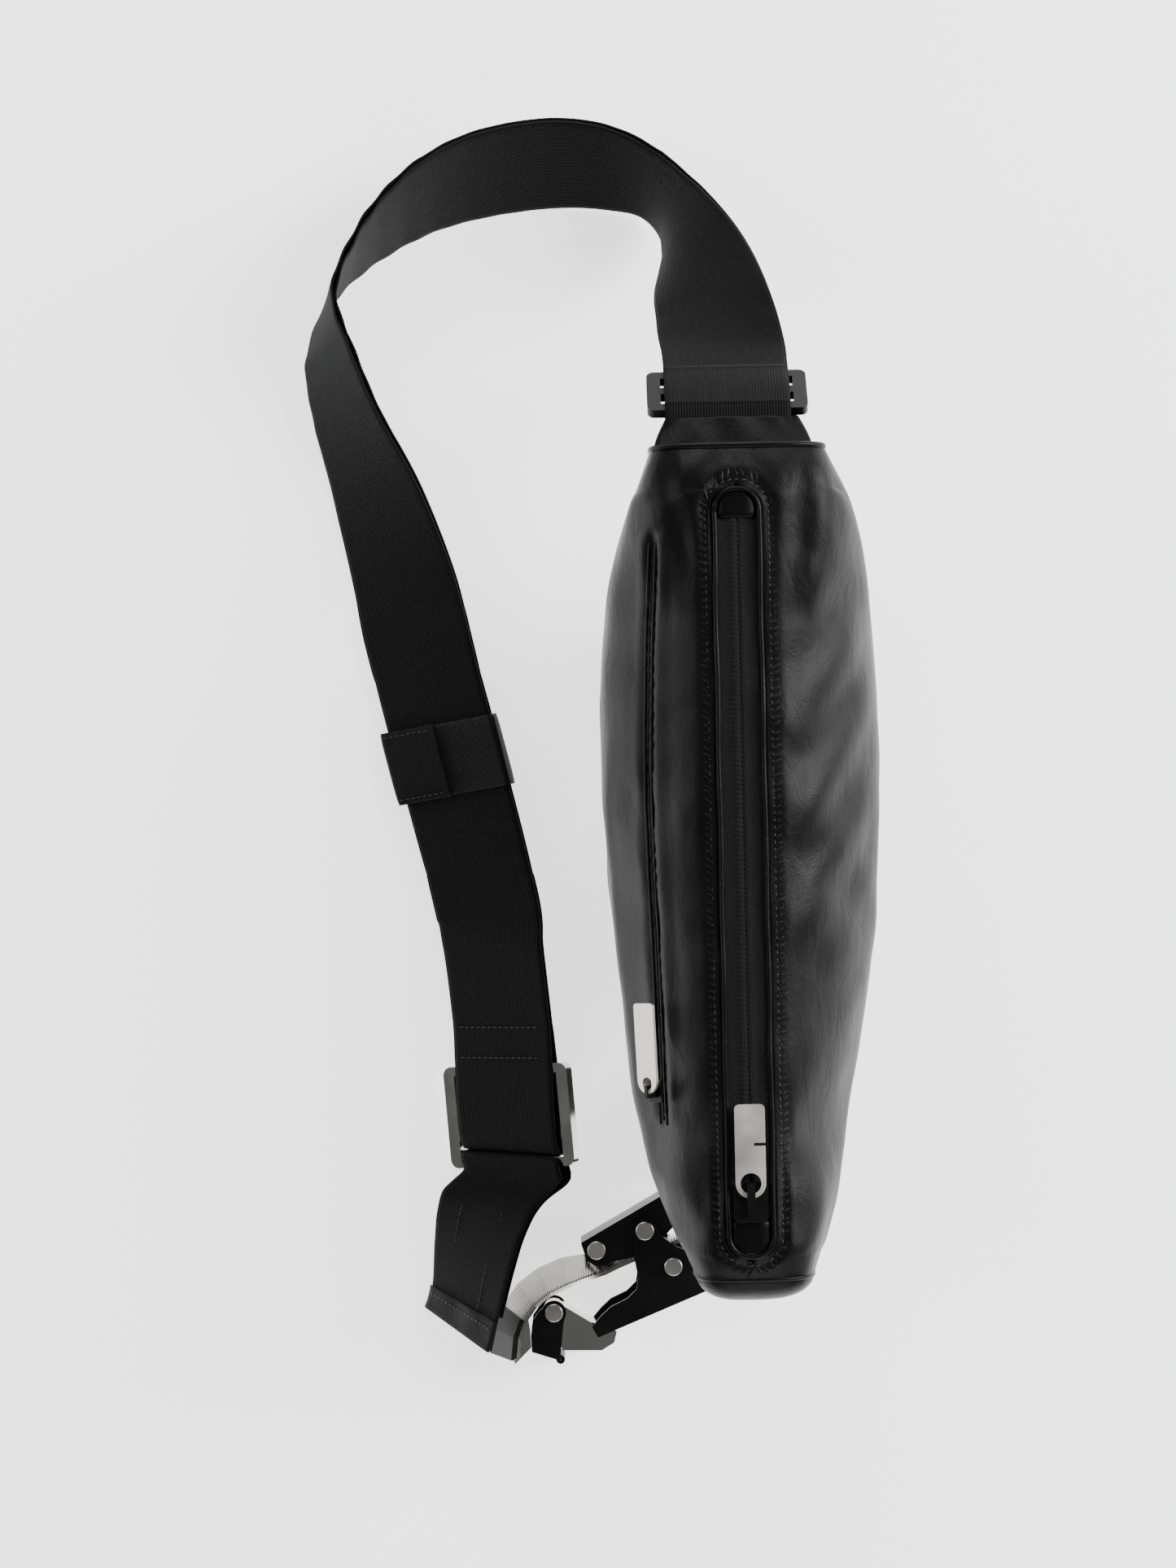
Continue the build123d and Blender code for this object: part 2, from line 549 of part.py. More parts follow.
# ---- ratchet buckle ------------------------------------------------------------------------
BUCKLE = Plane(
    origin=(*LEVER_PIVOT, 0),
    x_dir=(cos(radians(BUCKLE_ANGLE)), sin(radians(BUCKLE_ANGLE)), 0), z_dir=(0, 0, 1))
BASE_OUTLINE = [
    (-5.2, 0.5), (-8.8, -9.4), (-10.5, -17.4), (-13.0, -21.5), (-18.2, -23.6), (-26.0, -24.0),
    (-31.4, -26.0), (-36.8, -28.8), (-36.2, BACK_Y), (BASE_END_X, BACK_Y), (BASE_END_X, -19.0),
    (14.0, -15.5), (9.4, -11.1), (6.3, -5.7), (5.2, 0.5),
]
WEB_START = -26.6
WINDOW_X = (-40.0, -13.0)
WINDOW_Z = (5.8, 22.2)
LEVER_OUTLINE = [
    (-27.2, 5.8), (13.1, 10.9), (16.0, 8.0), (15.0, -2.0), (6.0, -6.0), (-8.7, -8.6),
    (-25.4, -5.7), (-27.8, -2.0),
]
LEVER_BACK = [(-27.2, 5.8), (13.1, 10.9), (13.3, 9.6), (-27.0, 4.5)]
PAWL_Z = (6.0, 21.4)
PAWL_HUB_R = 3.2
PAWL_ARM = [(-22.9, -2.4), (-21.0, 3.1), (-9.0, -3.6), (-8.2, -8.0), (-9.6, -8.1), (-12.5, -5.6)]
CAM_HUB_R = 3.6
CAM_ARM = [(2.0, -17.2), (-1.8, -12.4), (-2.2, -11.2), (0.5, -11.2), (6.6, -15.5)]
SPRING_R = 3.15
SPRING_WIRE = 0.45
SPRING_TURNS = 3
CATCH_Z = (6.5, 21.5)
CATCH_HUB_R = 4.6
CATCH_ARM = [
    (-53.5, -20.0), (-52.6, -34.0), (-37.2, -40.6), (-31.0, -39.6), (-28.2, -35.8),
    (-30.0, -32.0), (-36.8, -27.6), (-45.6, -15.6),
]
BRACKET_Z = (4.8, 23.2)
BRACKET_EAR_R = 5.2
BRACKET_OUTLINE = [
    (-45.3, -20.2), (-47.5, -23.0), (-53.0, -33.0), (-55.5, -37.2), (-65.0, -29.2),
    (-62.5, -22.5), (-59.4, -17.0), (-55.0, -14.2), (-50.5, -13.2),
]
BRACKET_BACK = [(-55.5, -37.2), (-65.0, -29.2), (-64.2, -28.2), (-54.7, -36.2)]
KNUCKLE = (-54.9, -37.0)
KNUCKLE_R = 1.9
CARRIER = [
    (-61.2, -15.0), (-62.8, -22.0), (-65.3, -29.0), (-74.5, -32.8), (-74.2, -28.0),
    (-70.2, -20.0), (-66.5, -15.5),
]
CARRIER_Z = (4.8, 11.0)
LOOP_CENTRE = (20.0, -24.0)
LOOP_HALF = 6.5
FOOT_LOOP_R = 3.2


def plate(points, low, high, corner=0.0):
    """An upright slab with that outline between two heights."""
    face = make_face(Polyline(*points, close=True))
    if corner:
        face = fillet(face.vertices(), corner)
    return Pos(0, 0, low) * extrude(face, amount=high - low, dir=(0, 0, 1))


def tube(at, outside, inside, low, high):
    """A round post, or a ring when inside is above zero, between two heights."""
    face = Pos(*at) * Circle(outside)
    if inside:
        face -= Pos(*at) * Circle(inside)
    return Pos(0, 0, low) * extrude(face, amount=high - low, dir=(0, 0, 1))


def rivet(at, low, high):
    """A pin with a head at each end; low and high are the faces that the heads sit on."""
    pin = tube(at, PIN_R, 0, low - HEAD_T, high + HEAD_T)
    foot = tube(at, HEAD_R, 0, low - HEAD_T, low)
    head = tube(at, HEAD_R, 0, high, high + HEAD_T)
    return pin + foot + head.fillet(0.5, head.edges().group_by(Axis.Z)[-1])


def spring(at, low):
    """A small torsion spring: closed turns round a pin."""
    turns = [Pos(*at, low + SPRING_WIRE * (2 * i + 1)) * Torus(SPRING_R, SPRING_WIRE)
             for i in range(SPRING_TURNS)]
    return turns


def save_buckle(name, *solids):
    """Writes a sub-part of the buckle, moved from the buckle's axes to the bag's."""
    placed = [BUCKLE * solid for solid in solids]
    save(name, placed[0] if len(placed) == 1 else group(*placed))


low_cheek = (BASE_Z[0], BASE_Z[0] + SHEET_T)
high_cheek = (BASE_Z[1] - SHEET_T, BASE_Z[1])
base = block((WEB_START, BASE_END_X), (BACK_Y, BACK_Y + SHEET_T), BASE_Z)
base -= block(WINDOW_X, (BACK_Y - 1, BACK_Y + SHEET_T + 1), WINDOW_Z)
for low, high in (low_cheek, high_cheek):
    base += plate(BASE_OUTLINE, low, high) + tube((0, 0), 5.3, 0, low, high)
for at in ((0, 0), CAM_PIVOT, REAR_PIN):
    base -= tube(at, PIN_R + 0.02, 0, 0, 40)
save_buckle("buckle_base", base)
save_buckle("base_rivets", *(rivet(at, *BASE_Z) for at in ((0, 0), CAM_PIVOT, REAR_PIN)))

lever = plate(LEVER_BACK, *LEVER_Z)
for low, high in ((LEVER_Z[0], LEVER_Z[0] + LEVER_T), (LEVER_Z[1] - LEVER_T, LEVER_Z[1])):
    lever += plate(LEVER_OUTLINE, low, high, 0.8)
lever -= tube((0, 0), PIN_R + PIN_PLAY, 0, 0, 40)
lever -= tube(PAWL_PIVOT, PIN_R + 0.02, 0, 0, 40)
save_buckle("buckle_lever", lever)
save_buckle("lever_rivet", rivet(PAWL_PIVOT, *LEVER_Z))

pawl = plate(PAWL_ARM, *PAWL_Z) + tube(PAWL_PIVOT, PAWL_HUB_R, 0, *PAWL_Z)
save_buckle("lock_pawl", pawl - tube(PAWL_PIVOT, PIN_R + PIN_PLAY, 0, 0, 40))
cam = plate(CAM_ARM, *PAWL_Z) + tube(CAM_PIVOT, CAM_HUB_R, 0, *PAWL_Z)
save_buckle("grip_cam", cam - tube(CAM_PIVOT, PIN_R + PIN_PLAY, 0, 0, 40))
save_buckle("lock_spring", *spring(PAWL_PIVOT, PAWL_Z[1] + 0.3))
save_buckle("cam_spring", *spring(CAM_PIVOT, PAWL_Z[1] + 0.3))

# The toothed band and what is fixed to its end.
band_stations = []
for x, y, lean in BAND:
    foot_x = BAND_WIDTH / 2 * sin(radians(lean))
    rise = BAND_WIDTH / 2 * cos(radians(lean))
    band_stations.append((x, y, foot_x, rise))


def band_frames(points):
    """Frames of the band: across runs from its lower edge to its upper one."""
    last = len(points) - 1
    frames = []
    for i, (x, y, lean) in enumerate(points):
        before, after = points[max(i - 1, 0)], points[min(i + 1, last)]
        along = Vector(after[0] - before[0], after[1] - before[1], 0).normalized()
        inward = Vector(-along.Y, along.X, 0)
        across = inward * sin(radians(lean)) + Vector(0, 0, cos(radians(lean)))
        normal = across.cross(along).normalized()
        frames.append((Vector(x, y, BAND_Z), across * (BAND_WIDTH / 2), normal))
    return frames


def between(frames, share):
    """The frame at a share of the way along a pair of frames."""
    (c0, h0, n0), (c1, h1, n1) = frames
    return tuple(a + (b - a) * share for a, b in ((c0, c1), (h0, h1), (n0, n1)))


def teeth(frames):
    """One raised rib every TOOTH_PITCH along the outer face of the band."""
    ribs = []
    for pair in zip(frames, frames[1:]):
        length = (pair[1][0] - pair[0][0]).length
        count = int(length / TOOTH_PITCH)
        for i in range(count):
            ends = [between(pair, (i + share) / count) for share in (0.2, 0.7)]
            ends = [(c, h * 0.9, n) for c, h, n in ends]
            ribs.append(ribbon(ends, -BAND_T / 2 - TOOTH, -BAND_T / 2 + 0.02))
    return ribs


band = band_frames(BAND)
save_buckle("toothed_band", ribbon(band, -BAND_T / 2, BAND_T / 2))
save_buckle("band_teeth", *teeth(band))
save_buckle("band_anchor", ribbon(band[-3:], -BAND_T / 2 - TOOTH - 1.7, -BAND_T / 2 - TOOTH - 0.1))
save_buckle("band_carrier", plate(CARRIER, *CARRIER_Z))

bracket = plate(BRACKET_BACK, *BRACKET_Z) + tube(KNUCKLE, KNUCKLE_R, 0.7, *BRACKET_Z)
for low, high in ((BRACKET_Z[0], BRACKET_Z[0] + LEVER_T), (BRACKET_Z[1] - LEVER_T, BRACKET_Z[1])):
    bracket += plate(BRACKET_OUTLINE, low, high) + tube(CATCH_PIVOT, BRACKET_EAR_R, 0, low, high)
save_buckle("catch_bracket", bracket - tube(CATCH_PIVOT, PIN_R + 0.02, 0, 0, 40))
save_buckle("catch_rivet", rivet(CATCH_PIVOT, *BRACKET_Z))
catch = plate(CATCH_ARM, *CATCH_Z) + tube(CATCH_PIVOT, CATCH_HUB_R, 0, *CATCH_Z)
save_buckle("catch_plate", catch - tube(CATCH_PIVOT, PIN_R + PIN_PLAY, 0, 0, 40))

# The webbing tab that holds the buckle's rear pin to the foot end of the bag.
band_low, band_high = BAND_Z - BAND_WIDTH / 2, BAND_Z + BAND_WIDTH / 2
foot_ring = Pos(*LOOP_CENTRE) * SlotCenterToCenter(2 * LOOP_HALF, 2 * (FOOT_LOOP_R + WEB_T))
foot_ring -= Pos(*LOOP_CENTRE) * SlotCenterToCenter(2 * LOOP_HALF, 2 * FOOT_LOOP_R)
save_buckle("foot_tab_loop", Pos(0, 0, band_low) * extrude(foot_ring, amount=BAND_WIDTH, dir=(0, 0, 1)))
loop_end = BUCKLE.from_local_coords((LOOP_CENTRE[0] + LOOP_HALF + FOOT_LOOP_R + WEB_T, LOOP_CENTRE[1], 0))
FOOT_TAB = [
    ((loop_end.X + 0.7, loop_end.Y + 0.3, band_low), (loop_end.X + 0.7, loop_end.Y + 0.3, band_high)),
    ((5.5, -161.0, band_low), (5.5, -161.0, band_high)),
    ((13.5, -157.5, 13.0), (8.0, -153.5, 31.5)),
    ((17.0, -151.0, 34.0), (-1.0, -149.5, 43.0)),
    ((17.0, -147.0, 54.0), (-3.0, -146.5, 56.0)),
    ((16.0, -144.0, 70.5), (-4.0, -144.0, 70.5)),
]
save("foot_tab_webbing", ribbon(edges_to_frames(FOOT_TAB, BAND_WIDTH), -WEB_T / 2, WEB_T / 2))
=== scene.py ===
import math
import bpy
import bmesh
import numpy as np
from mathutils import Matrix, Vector


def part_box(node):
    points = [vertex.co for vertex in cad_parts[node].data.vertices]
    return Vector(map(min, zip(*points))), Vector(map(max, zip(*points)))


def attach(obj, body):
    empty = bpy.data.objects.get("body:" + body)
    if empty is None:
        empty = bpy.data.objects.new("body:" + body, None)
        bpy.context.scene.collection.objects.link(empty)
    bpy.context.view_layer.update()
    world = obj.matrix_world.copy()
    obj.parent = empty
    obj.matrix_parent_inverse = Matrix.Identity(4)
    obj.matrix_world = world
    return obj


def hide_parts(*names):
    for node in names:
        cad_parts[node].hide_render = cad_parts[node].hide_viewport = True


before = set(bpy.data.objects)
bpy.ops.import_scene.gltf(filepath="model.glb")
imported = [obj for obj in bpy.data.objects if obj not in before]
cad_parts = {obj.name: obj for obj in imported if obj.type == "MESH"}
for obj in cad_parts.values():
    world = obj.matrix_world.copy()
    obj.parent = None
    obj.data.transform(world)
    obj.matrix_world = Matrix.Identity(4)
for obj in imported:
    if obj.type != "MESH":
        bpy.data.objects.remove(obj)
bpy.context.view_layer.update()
MM = 0.001
rng = np.random.default_rng(7)

# ---- camera: straight above, the zip running up the frame ----
cam_data = bpy.data.cameras.new("camera")
cam_data.lens = 84.65
cam_data.sensor_width = 36.0
cam_data.clip_end = 200.0
cam = bpy.data.objects.new("camera", cam_data)
bpy.context.scene.collection.objects.link(cam)
cam.location = (-0.0607, 0.036, 1.6)
cam.rotation_euler = (0.0, 0.0, math.radians(-1.2))
bpy.context.scene.camera = cam


# ---- materials ----
def new_material(name, color, rough, metallic=0.0):
    """A plain material, its node tree and its shader."""
    mat = bpy.data.materials.new(name)
    mat.use_nodes = True
    nt = mat.node_tree
    bsdf = nt.nodes["Principled BSDF"]
    bsdf.inputs["Base Color"].default_value = (*color, 1.0)
    bsdf.inputs["Roughness"].default_value = rough
    bsdf.inputs["Metallic"].default_value = metallic
    return mat, nt, bsdf


def node(nt, kind, **inputs):
    made = nt.nodes.new(kind)
    for key, value in inputs.items():
        made.inputs[key].default_value = value
    return made


def texture(nt, kind, scale, uv=False, turn=0.0, bands=None, **inputs):
    """A texture's height, scaled over the piece's own place or over its UV map."""
    coords = nt.nodes.new("ShaderNodeTexCoord")
    mapping = node(nt, "ShaderNodeMapping", Scale=scale, Rotation=(0.0, 0.0, turn))
    nt.links.new(coords.outputs["UV" if uv else "Object"], mapping.inputs["Vector"])
    made = node(nt, "ShaderNodeTex" + kind, Scale=1.0, **inputs)
    if bands:
        made.bands_direction = bands
    nt.links.new(mapping.outputs["Vector"], made.inputs["Vector"])
    return made.outputs["Distance" if kind == "Voronoi" else "Fac"]


def ramp(nt, source, stops):
    """A colour ramp on source, from (place, grey or colour) stops."""
    made = nt.nodes.new("ShaderNodeValToRGB")
    elements = made.color_ramp.elements
    while len(elements) < len(stops):
        elements.new(0.5)
    for element, (place, value) in zip(elements, stops):
        element.position = place
        shade = value if isinstance(value, tuple) else (value, value, value)
        element.color = (*shade, 1.0)
    nt.links.new(source, made.inputs["Fac"])
    return made.outputs["Color"]


def bump(nt, bsdf, layers):
    """Chains bump nodes, each (height socket, strength, distance), into the shader's normal."""
    last = None
    for height, strength, distance in layers:
        made = node(nt, "ShaderNodeBump", Strength=strength, Distance=distance)
        nt.links.new(height, made.inputs["Height"])
        if last:
            nt.links.new(last, made.inputs["Normal"])
        last = made.outputs["Normal"]
    nt.links.new(last, bsdf.inputs["Normal"])


def shade(color, factor):
    return tuple(min(c * factor, 1.0) for c in color)


def leather_material(name, color, rough, grain=1.0, creases=1.0):
    mat, nt, bsdf = new_material(name, color, rough)
    pores = texture(nt, "Voronoi", (1150.0,) * 3)
    fine = texture(nt, "Noise", (520.0, 380.0, 520.0), Detail=4.0, Roughness=0.6)
    crease = texture(nt, "Noise", (150.0, 55.0, 110.0), turn=0.5, Detail=6.0, Roughness=0.62, Distortion=0.8)
    broad = texture(nt, "Noise", (26.0, 14.0, 26.0), Detail=3.0, Roughness=0.5)
    tone = ramp(nt, broad, [(0.3, shade(color, 0.82)), (0.7, shade(color, 1.25))])
    nt.links.new(tone, bsdf.inputs["Base Color"])
    gloss = ramp(nt, broad, [(0.3, rough - 0.05), (0.7, rough + 0.08)])
    nt.links.new(gloss, bsdf.inputs["Roughness"])
    bump(nt, bsdf, [
        (broad, 0.35 * creases, 0.004),
        (crease, 0.30 * creases, 0.0012),
        (fine, 0.35 * grain, 0.0002),
        (pores, 0.28 * grain, 0.00012),
    ])
    bsdf.inputs["Sheen Weight"].default_value = 0.02
    bsdf.inputs["Sheen Roughness"].default_value = 0.4
    bsdf.inputs["Specular IOR Level"].default_value = 0.13
    return mat


def webbing_material(name, color, rib=1.1, cross=0.55, turn=0.0, sheen=0.02, rough=0.68):
    """Lengthwise ribs with a finer cross weave, on UVs in millimetres along and across."""
    mat, nt, bsdf = new_material(name, color, rough)
    ribs = texture(nt, "Wave", (0.02, 0.314 / rib, 1.0), True, turn, "Y", Distortion=0.6, Detail=1.0)
    picks = texture(nt, "Wave", (0.314 / cross, 0.12 / rib, 1.0), True, bands="DIAGONAL", Distortion=0.4)
    worn = texture(nt, "Noise", (0.07, 0.25, 1.0), True, Detail=5.0, Roughness=0.65)
    fuzz = texture(nt, "Noise", (2.6, 2.6, 1.0), True, Detail=2.0)
    mix = nt.nodes.new("ShaderNodeMix")
    mix.data_type = "RGBA"
    mix.blend_type = "MULTIPLY"
    mix.inputs["Factor"].default_value = 1.0
    # The colour follows the ribs' relief, darker in their valleys and lighter on their crests: painted shade
    # and highlight on the weave.
    painted_rib_shade = ramp(nt, ribs, [(0.1, shade(color, 0.45)), (0.75, shade(color, 1.35))])
    wear = ramp(nt, worn, [(0.3, 0.75), (0.7, 1.2)])
    nt.links.new(painted_rib_shade, mix.inputs["A"])
    nt.links.new(wear, mix.inputs["B"])
    nt.links.new(mix.outputs["Result"], bsdf.inputs["Base Color"])
    bump(nt, bsdf, [
        (worn, 0.2, 0.0006),
        (ribs, 0.75, 0.0003),
        (picks, 0.45, 0.00016),
        (fuzz, 0.25, 0.0001),
    ])
    bsdf.inputs["Sheen Weight"].default_value = sheen
    bsdf.inputs["Specular IOR Level"].default_value = 0.1
    bsdf.inputs["Sheen Roughness"].default_value = 0.45
    return mat


def metal_material(name, color, rough, brushed=0.0, metallic=1.0):
    mat, nt, bsdf = new_material(name, color, rough, metallic)
    lines = texture(nt, "Noise", (60.0, 1400.0, 900.0), Detail=3.0, Roughness=0.6)
    smear = texture(nt, "Noise", (70.0, 70.0, 70.0), Detail=4.0)
    gloss = ramp(nt, smear, [(0.3, max(rough - 0.05, 0.03)), (0.7, rough + 0.06)])
    nt.links.new(gloss, bsdf.inputs["Roughness"])
    tone = ramp(nt, smear, [(0.25, shade(color, 0.94)), (0.75, shade(color, 1.05))])
    nt.links.new(tone, bsdf.inputs["Base Color"])
    bump(nt, bsdf, [(lines, 0.04 + brushed, 0.00005), (smear, 0.04, 0.0003)])
    return mat


LEATHER = leather_material("leather_black", (0.0019, 0.0019, 0.0021), 0.41)
LEATHER_MATTE = leather_material("leather_matte", (0.0018, 0.0018, 0.0019), 0.58, 1.3, 1.2)
LEATHER_EDGE = leather_material("leather_edge", (0.0018, 0.0018, 0.0020), 0.36, 0.6, 0.6)
WEBBING = webbing_material("webbing_black", (0.0031, 0.0031, 0.0033))
WEBBING_FINE = webbing_material("webbing_tail", (0.0021, 0.0021, 0.0023), rib=0.95, cross=0.6)
SATIN = webbing_material("webbing_satin", (0.0018, 0.0018, 0.0020), 0.8, 0.5, 0.35, 0.12, 0.5)
THREAD, _, thread_shader = new_material("thread_black", (0.0028, 0.0028, 0.003), 0.5)
thread_shader.inputs["Sheen Weight"].default_value = 0.1
NICKEL = metal_material("nickel_brushed", (0.74, 0.71, 0.67), 0.44, 0.10)
CHROME = metal_material("chrome", (0.66, 0.655, 0.64), 0.10, 0.02)
STEEL = metal_material("steel_rivet", (0.62, 0.605, 0.57), 0.32, 0.06)
BAND_STEEL = metal_material("steel_band", (0.40, 0.395, 0.38), 0.24, 0.05)
BLACK = metal_material("paint_black", (0.0026, 0.0026, 0.0028), 0.36, 0.02, 0.0)
BLACK.node_tree.nodes["Principled BSDF"].inputs["Specular IOR Level"].default_value = 0.22
TAPE = webbing_material("zip_tape", (0.0056, 0.0056, 0.0060), 0.5, 0.5, 0.0, 0.06, 0.6)
# Near-black painted shade for the gap where the zip's two halves meet.
PAINTED_GAP_SHADE = new_material("painted_gap_shade", (0.0015, 0.0015, 0.0015), 0.8)[0]


# ---- mesh helpers ----
def make(name, verts, faces, mat, body="bag", replaces=(), uvs=None):
    """A smooth-shaded mesh that rides on a body and may stand for CAD nodes."""
    mesh = bpy.data.meshes.new(name)
    mesh.from_pydata([tuple(v) for v in verts], [], [tuple(f) for f in faces])
    mesh.update()
    if uvs is not None:
        layer = mesh.uv_layers.new(name="UVMap")
        for loop in mesh.loops:
            layer.data[loop.index].uv = uvs[loop.vertex_index]
    mesh.polygons.foreach_set("use_smooth", [True] * len(mesh.polygons))
    obj = bpy.data.objects.new(name, mesh)
    bpy.context.scene.collection.objects.link(obj)
    obj.data.materials.append(mat)
    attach(obj, body)
    if replaces:
        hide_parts(*replaces)
    return obj


def outward(obj):
    """Turns the faces of a mesh to face outwards."""
    bm = bmesh.new()
    bm.from_mesh(obj.data)
    bmesh.ops.recalc_face_normals(bm, faces=bm.faces)
    bm.to_mesh(obj.data)
    bm.free()


def grid_faces(rows, cols, closed_cols=False, offset=0):
    """Four-sided faces between the rows of a grid of points."""
    faces = []
    for i in range(rows - 1):
        for j in range(cols if closed_cols else cols - 1):
            k = (j + 1) % cols
            faces.append((offset + i * cols + j, offset + i * cols + k,
                          offset + (i + 1) * cols + k, offset + (i + 1) * cols + j))
    return faces


def capped_faces(rows, cols, closed_cols=True):
    """A grid's faces, with its first and last rows each filled by one face."""
    caps = [tuple(range(cols)), tuple(range((rows - 1) * cols, rows * cols))]
    return grid_faces(rows, cols, closed_cols) + caps


def lengths_along(points):
    """How far along their line each point lies from the first one."""
    return np.r_[0, np.cumsum(np.linalg.norm(np.diff(points, axis=0), axis=1))]


def at_length(s, lengths, points):
    """The point, or points, at length s along a line."""
    return np.stack([np.interp(s, lengths, column) for column in np.transpose(points)], -1)


def unit(vectors):
    return vectors / (np.linalg.norm(vectors, axis=-1, keepdims=True) + 1e-12)


def repeated(vector, count):
    return np.repeat(np.array([vector], float), count, 0)


def between(knots, place):
    """The value at a place, by straight lines between (place, value) knots."""
    places, values = zip(*knots)
    return np.interp(place, places, values)


def thicken(obj, thickness, offset):
    solid = obj.modifiers.new("thickness", "SOLIDIFY")
    solid.thickness = thickness
    solid.offset = offset


def spline(points, count):
    """Even steps along a smooth curve through the points, by their chord lengths."""
    pts = np.array(points, float)
    chord = lengths_along(pts)
    ext = np.vstack([2 * pts[0] - pts[1], pts, 2 * pts[-1] - pts[-2]])
    out = []
    for s in np.linspace(0, chord[-1], count):
        i = min(int(np.searchsorted(chord, s, side="right")) - 1, len(pts) - 2)
        t = (s - chord[i]) / max(chord[i + 1] - chord[i], 1e-9)
        a, b, c, d = ext[i], ext[i + 1], ext[i + 2], ext[i + 3]
        out.append(0.5 * ((2 * b) + (c - a) * t + (2 * a - 5 * b + 4 * c - d) * t * t
                          + (3 * b - 3 * c + d - a) * t ** 3))
    return np.array(out)


def tube(points, radius, sides=10, closed=False, flat=1.0, up=(0, 0, 1)):
    """Vertices and faces of a tube along points (metres)."""
    pts = np.array(points, float)
    n = len(pts)
    if closed:
        tang = np.roll(pts, -1, 0) - np.roll(pts, 1, 0)
    else:
        tang = np.gradient(pts, axis=0)
    tang = unit(tang)
    side = unit(np.cross(tang, np.array(up, float)))
    top = np.cross(side, tang)
    rad = np.broadcast_to(np.array(radius, float), (n,))
    verts = []
    for k in range(sides):
        a = 2 * math.pi * k / sides
        verts.append(pts + (side * math.cos(a) + top * (math.sin(a) * flat)) * rad[:, None])
    verts = np.stack(verts, 1).reshape(-1, 3)
    if not closed:
        return verts, capped_faces(n, sides)
    faces = grid_faces(n, sides, True)
    for j in range(sides):
        k = (j + 1) % sides
        faces.append(((n - 1) * sides + j, (n - 1) * sides + k, k, j))
    return verts, faces


# Rings along one stitch: (place along it, share of its radius, height in radii).
STITCH_RINGS = ((-0.5, 0.25, -0.5), (-0.36, 0.85, 0.1), (0.0, 1.0, 0.45),
                (0.36, 0.85, 0.1), (0.5, 0.25, -0.5))
STITCH_SIDES = 6
STITCH_PITCH = 2.9
STITCH_LIFT = 0.68   # from a webbing layer's middle to the stitches on its face


def stitches(name, points, normals, length, pitch, body="bag", radius=0.28 * MM, mat=None, lean=0.0):
    """A row of separate stitches laid along a line on a surface, one mesh."""
    pts = np.array(points, float)
    nrm = np.array(normals, float)
    chord = lengths_along(pts)
    count = int(chord[-1] / pitch)
    verts, faces = [], []
    for i in range(count):
        s = (i + 0.5) * pitch
        at = at_length(s, chord, pts)
        up = unit(at_length(s, chord, nrm))
        along = unit(at_length(s + pitch * 0.3, chord, pts) - at)
        side = np.cross(up, along)
        along = along * math.cos(lean) + side * math.sin(lean)
        base = len(verts)
        for t, w, h in STITCH_RINGS:
            centre = at + along * (t * length) + up * (h * radius)
            across = np.cross(up, along)
            for k in range(STITCH_SIDES):
                a = 2 * math.pi * k / STITCH_SIDES
                verts.append(centre + (across * math.cos(a) + up * math.sin(a)) * (radius * w))
        faces += grid_faces(len(STITCH_RINGS), STITCH_SIDES, True, base)
        for start in (base, len(verts) - STITCH_SIDES):
            faces.append(tuple(range(start, start + STITCH_SIDES)))
    obj = make(name, verts, faces, mat or THREAD, body)
    outward(obj)
    return obj


# ---- webbing ----
DESCENT = [
    ((-27.0, 198.1, 117.9), (23.0, 198.1, 117.9)),
    ((-26.5, 211.0, 103.0), (22.0, 210.0, 109.0)),
    ((-26.0, 227.0, 82.0), (16.5, 225.0, 104.0)),
    ((-25.0, 243.0, 60.0), (9.0, 240.0, 96.0)),
    ((-24.5, 260.0, 36.0), (-1.0, 257.0, 80.0)),
    ((-24.0, 273.0, 15.0), (-13.0, 277.0, 63.0)),
    ((-29.0, 281.0, 4.0), (-22.0, 294.0, 52.0)),
]
ARCH = [
    ((-42.0, 284.5, 2.5), (-36.0, 310.0, 45.0)),
    ((-67.0, 286.5, 2.5), (-64.0, 317.0, 42.0)),
    ((-95.0, 284.0, 2.5), (-98.0, 313.0, 43.0)),
    ((-120.0, 278.5, 2.5), (-124.0, 301.0, 47.0)),
    ((-140.0, 270.0, 2.5), (-144.0, 283.0, 50.0)),
    ((-157.0, 259.0, 2.5), (-157.0, 263.0, 52.0)),
    ((-170.0, 245.0, 2.5), (-163.0, 245.0, 52.0)),
]
RUN = [
    ((-179.0, 226.0, 2.5), (-157.5, 226.0, 47.5)),
    ((-177.0, 200.0, 2.5), (-146.5, 196.0, 42.0)),
    ((-169.0, 167.0, 3.0), (-129.5, 161.0, 33.0)),
    ((-160.0, 130.0, 4.5), (-116.0, 121.0, 26.0)),
    ((-153.0, 97.0, 7.0), (-108.3, 86.5, 27.0)),
    ((-129.6, 0.0, 7.0), (-84.9, -10.5, 27.0)),
    ((-124.0, -30.0, 5.0), (-82.0, -35.0, 31.0)),
    ((-120.5, -66.0, 4.5), (-78.5, -68.0, 31.5)),
    ((-119.6, -80.0, 4.5), (-77.6, -81.0, 31.5)),
    ((-117.3, -113.0, 4.5), (-75.3, -114.0, 31.5)),
]
TAIL = [
    ((-116.4, -125.2, 4.5), (-74.4, -126.2, 31.5)),
    ((-116.2, -131.0, 4.5), (-74.0, -132.0, 31.5)),
    ((-127.5, -142.0, 3.5), (-83.5, -139.5, 26.5)),
    ((-130.5, -153.5, 3.5), (-90.5, -149.0, 32.0)),
    ((-131.0, -166.0, 3.5), (-96.0, -163.0, 38.0)),
    ((-131.0, -179.0, 3.5), (-101.5, -183.0, 43.0)),
    ((-133.0, -189.5, 3.5), (-106.0, -203.0, 43.0)),
]
BAR_SPREAD = 3.85   # from a bar's axis to the middle of the webbing round it


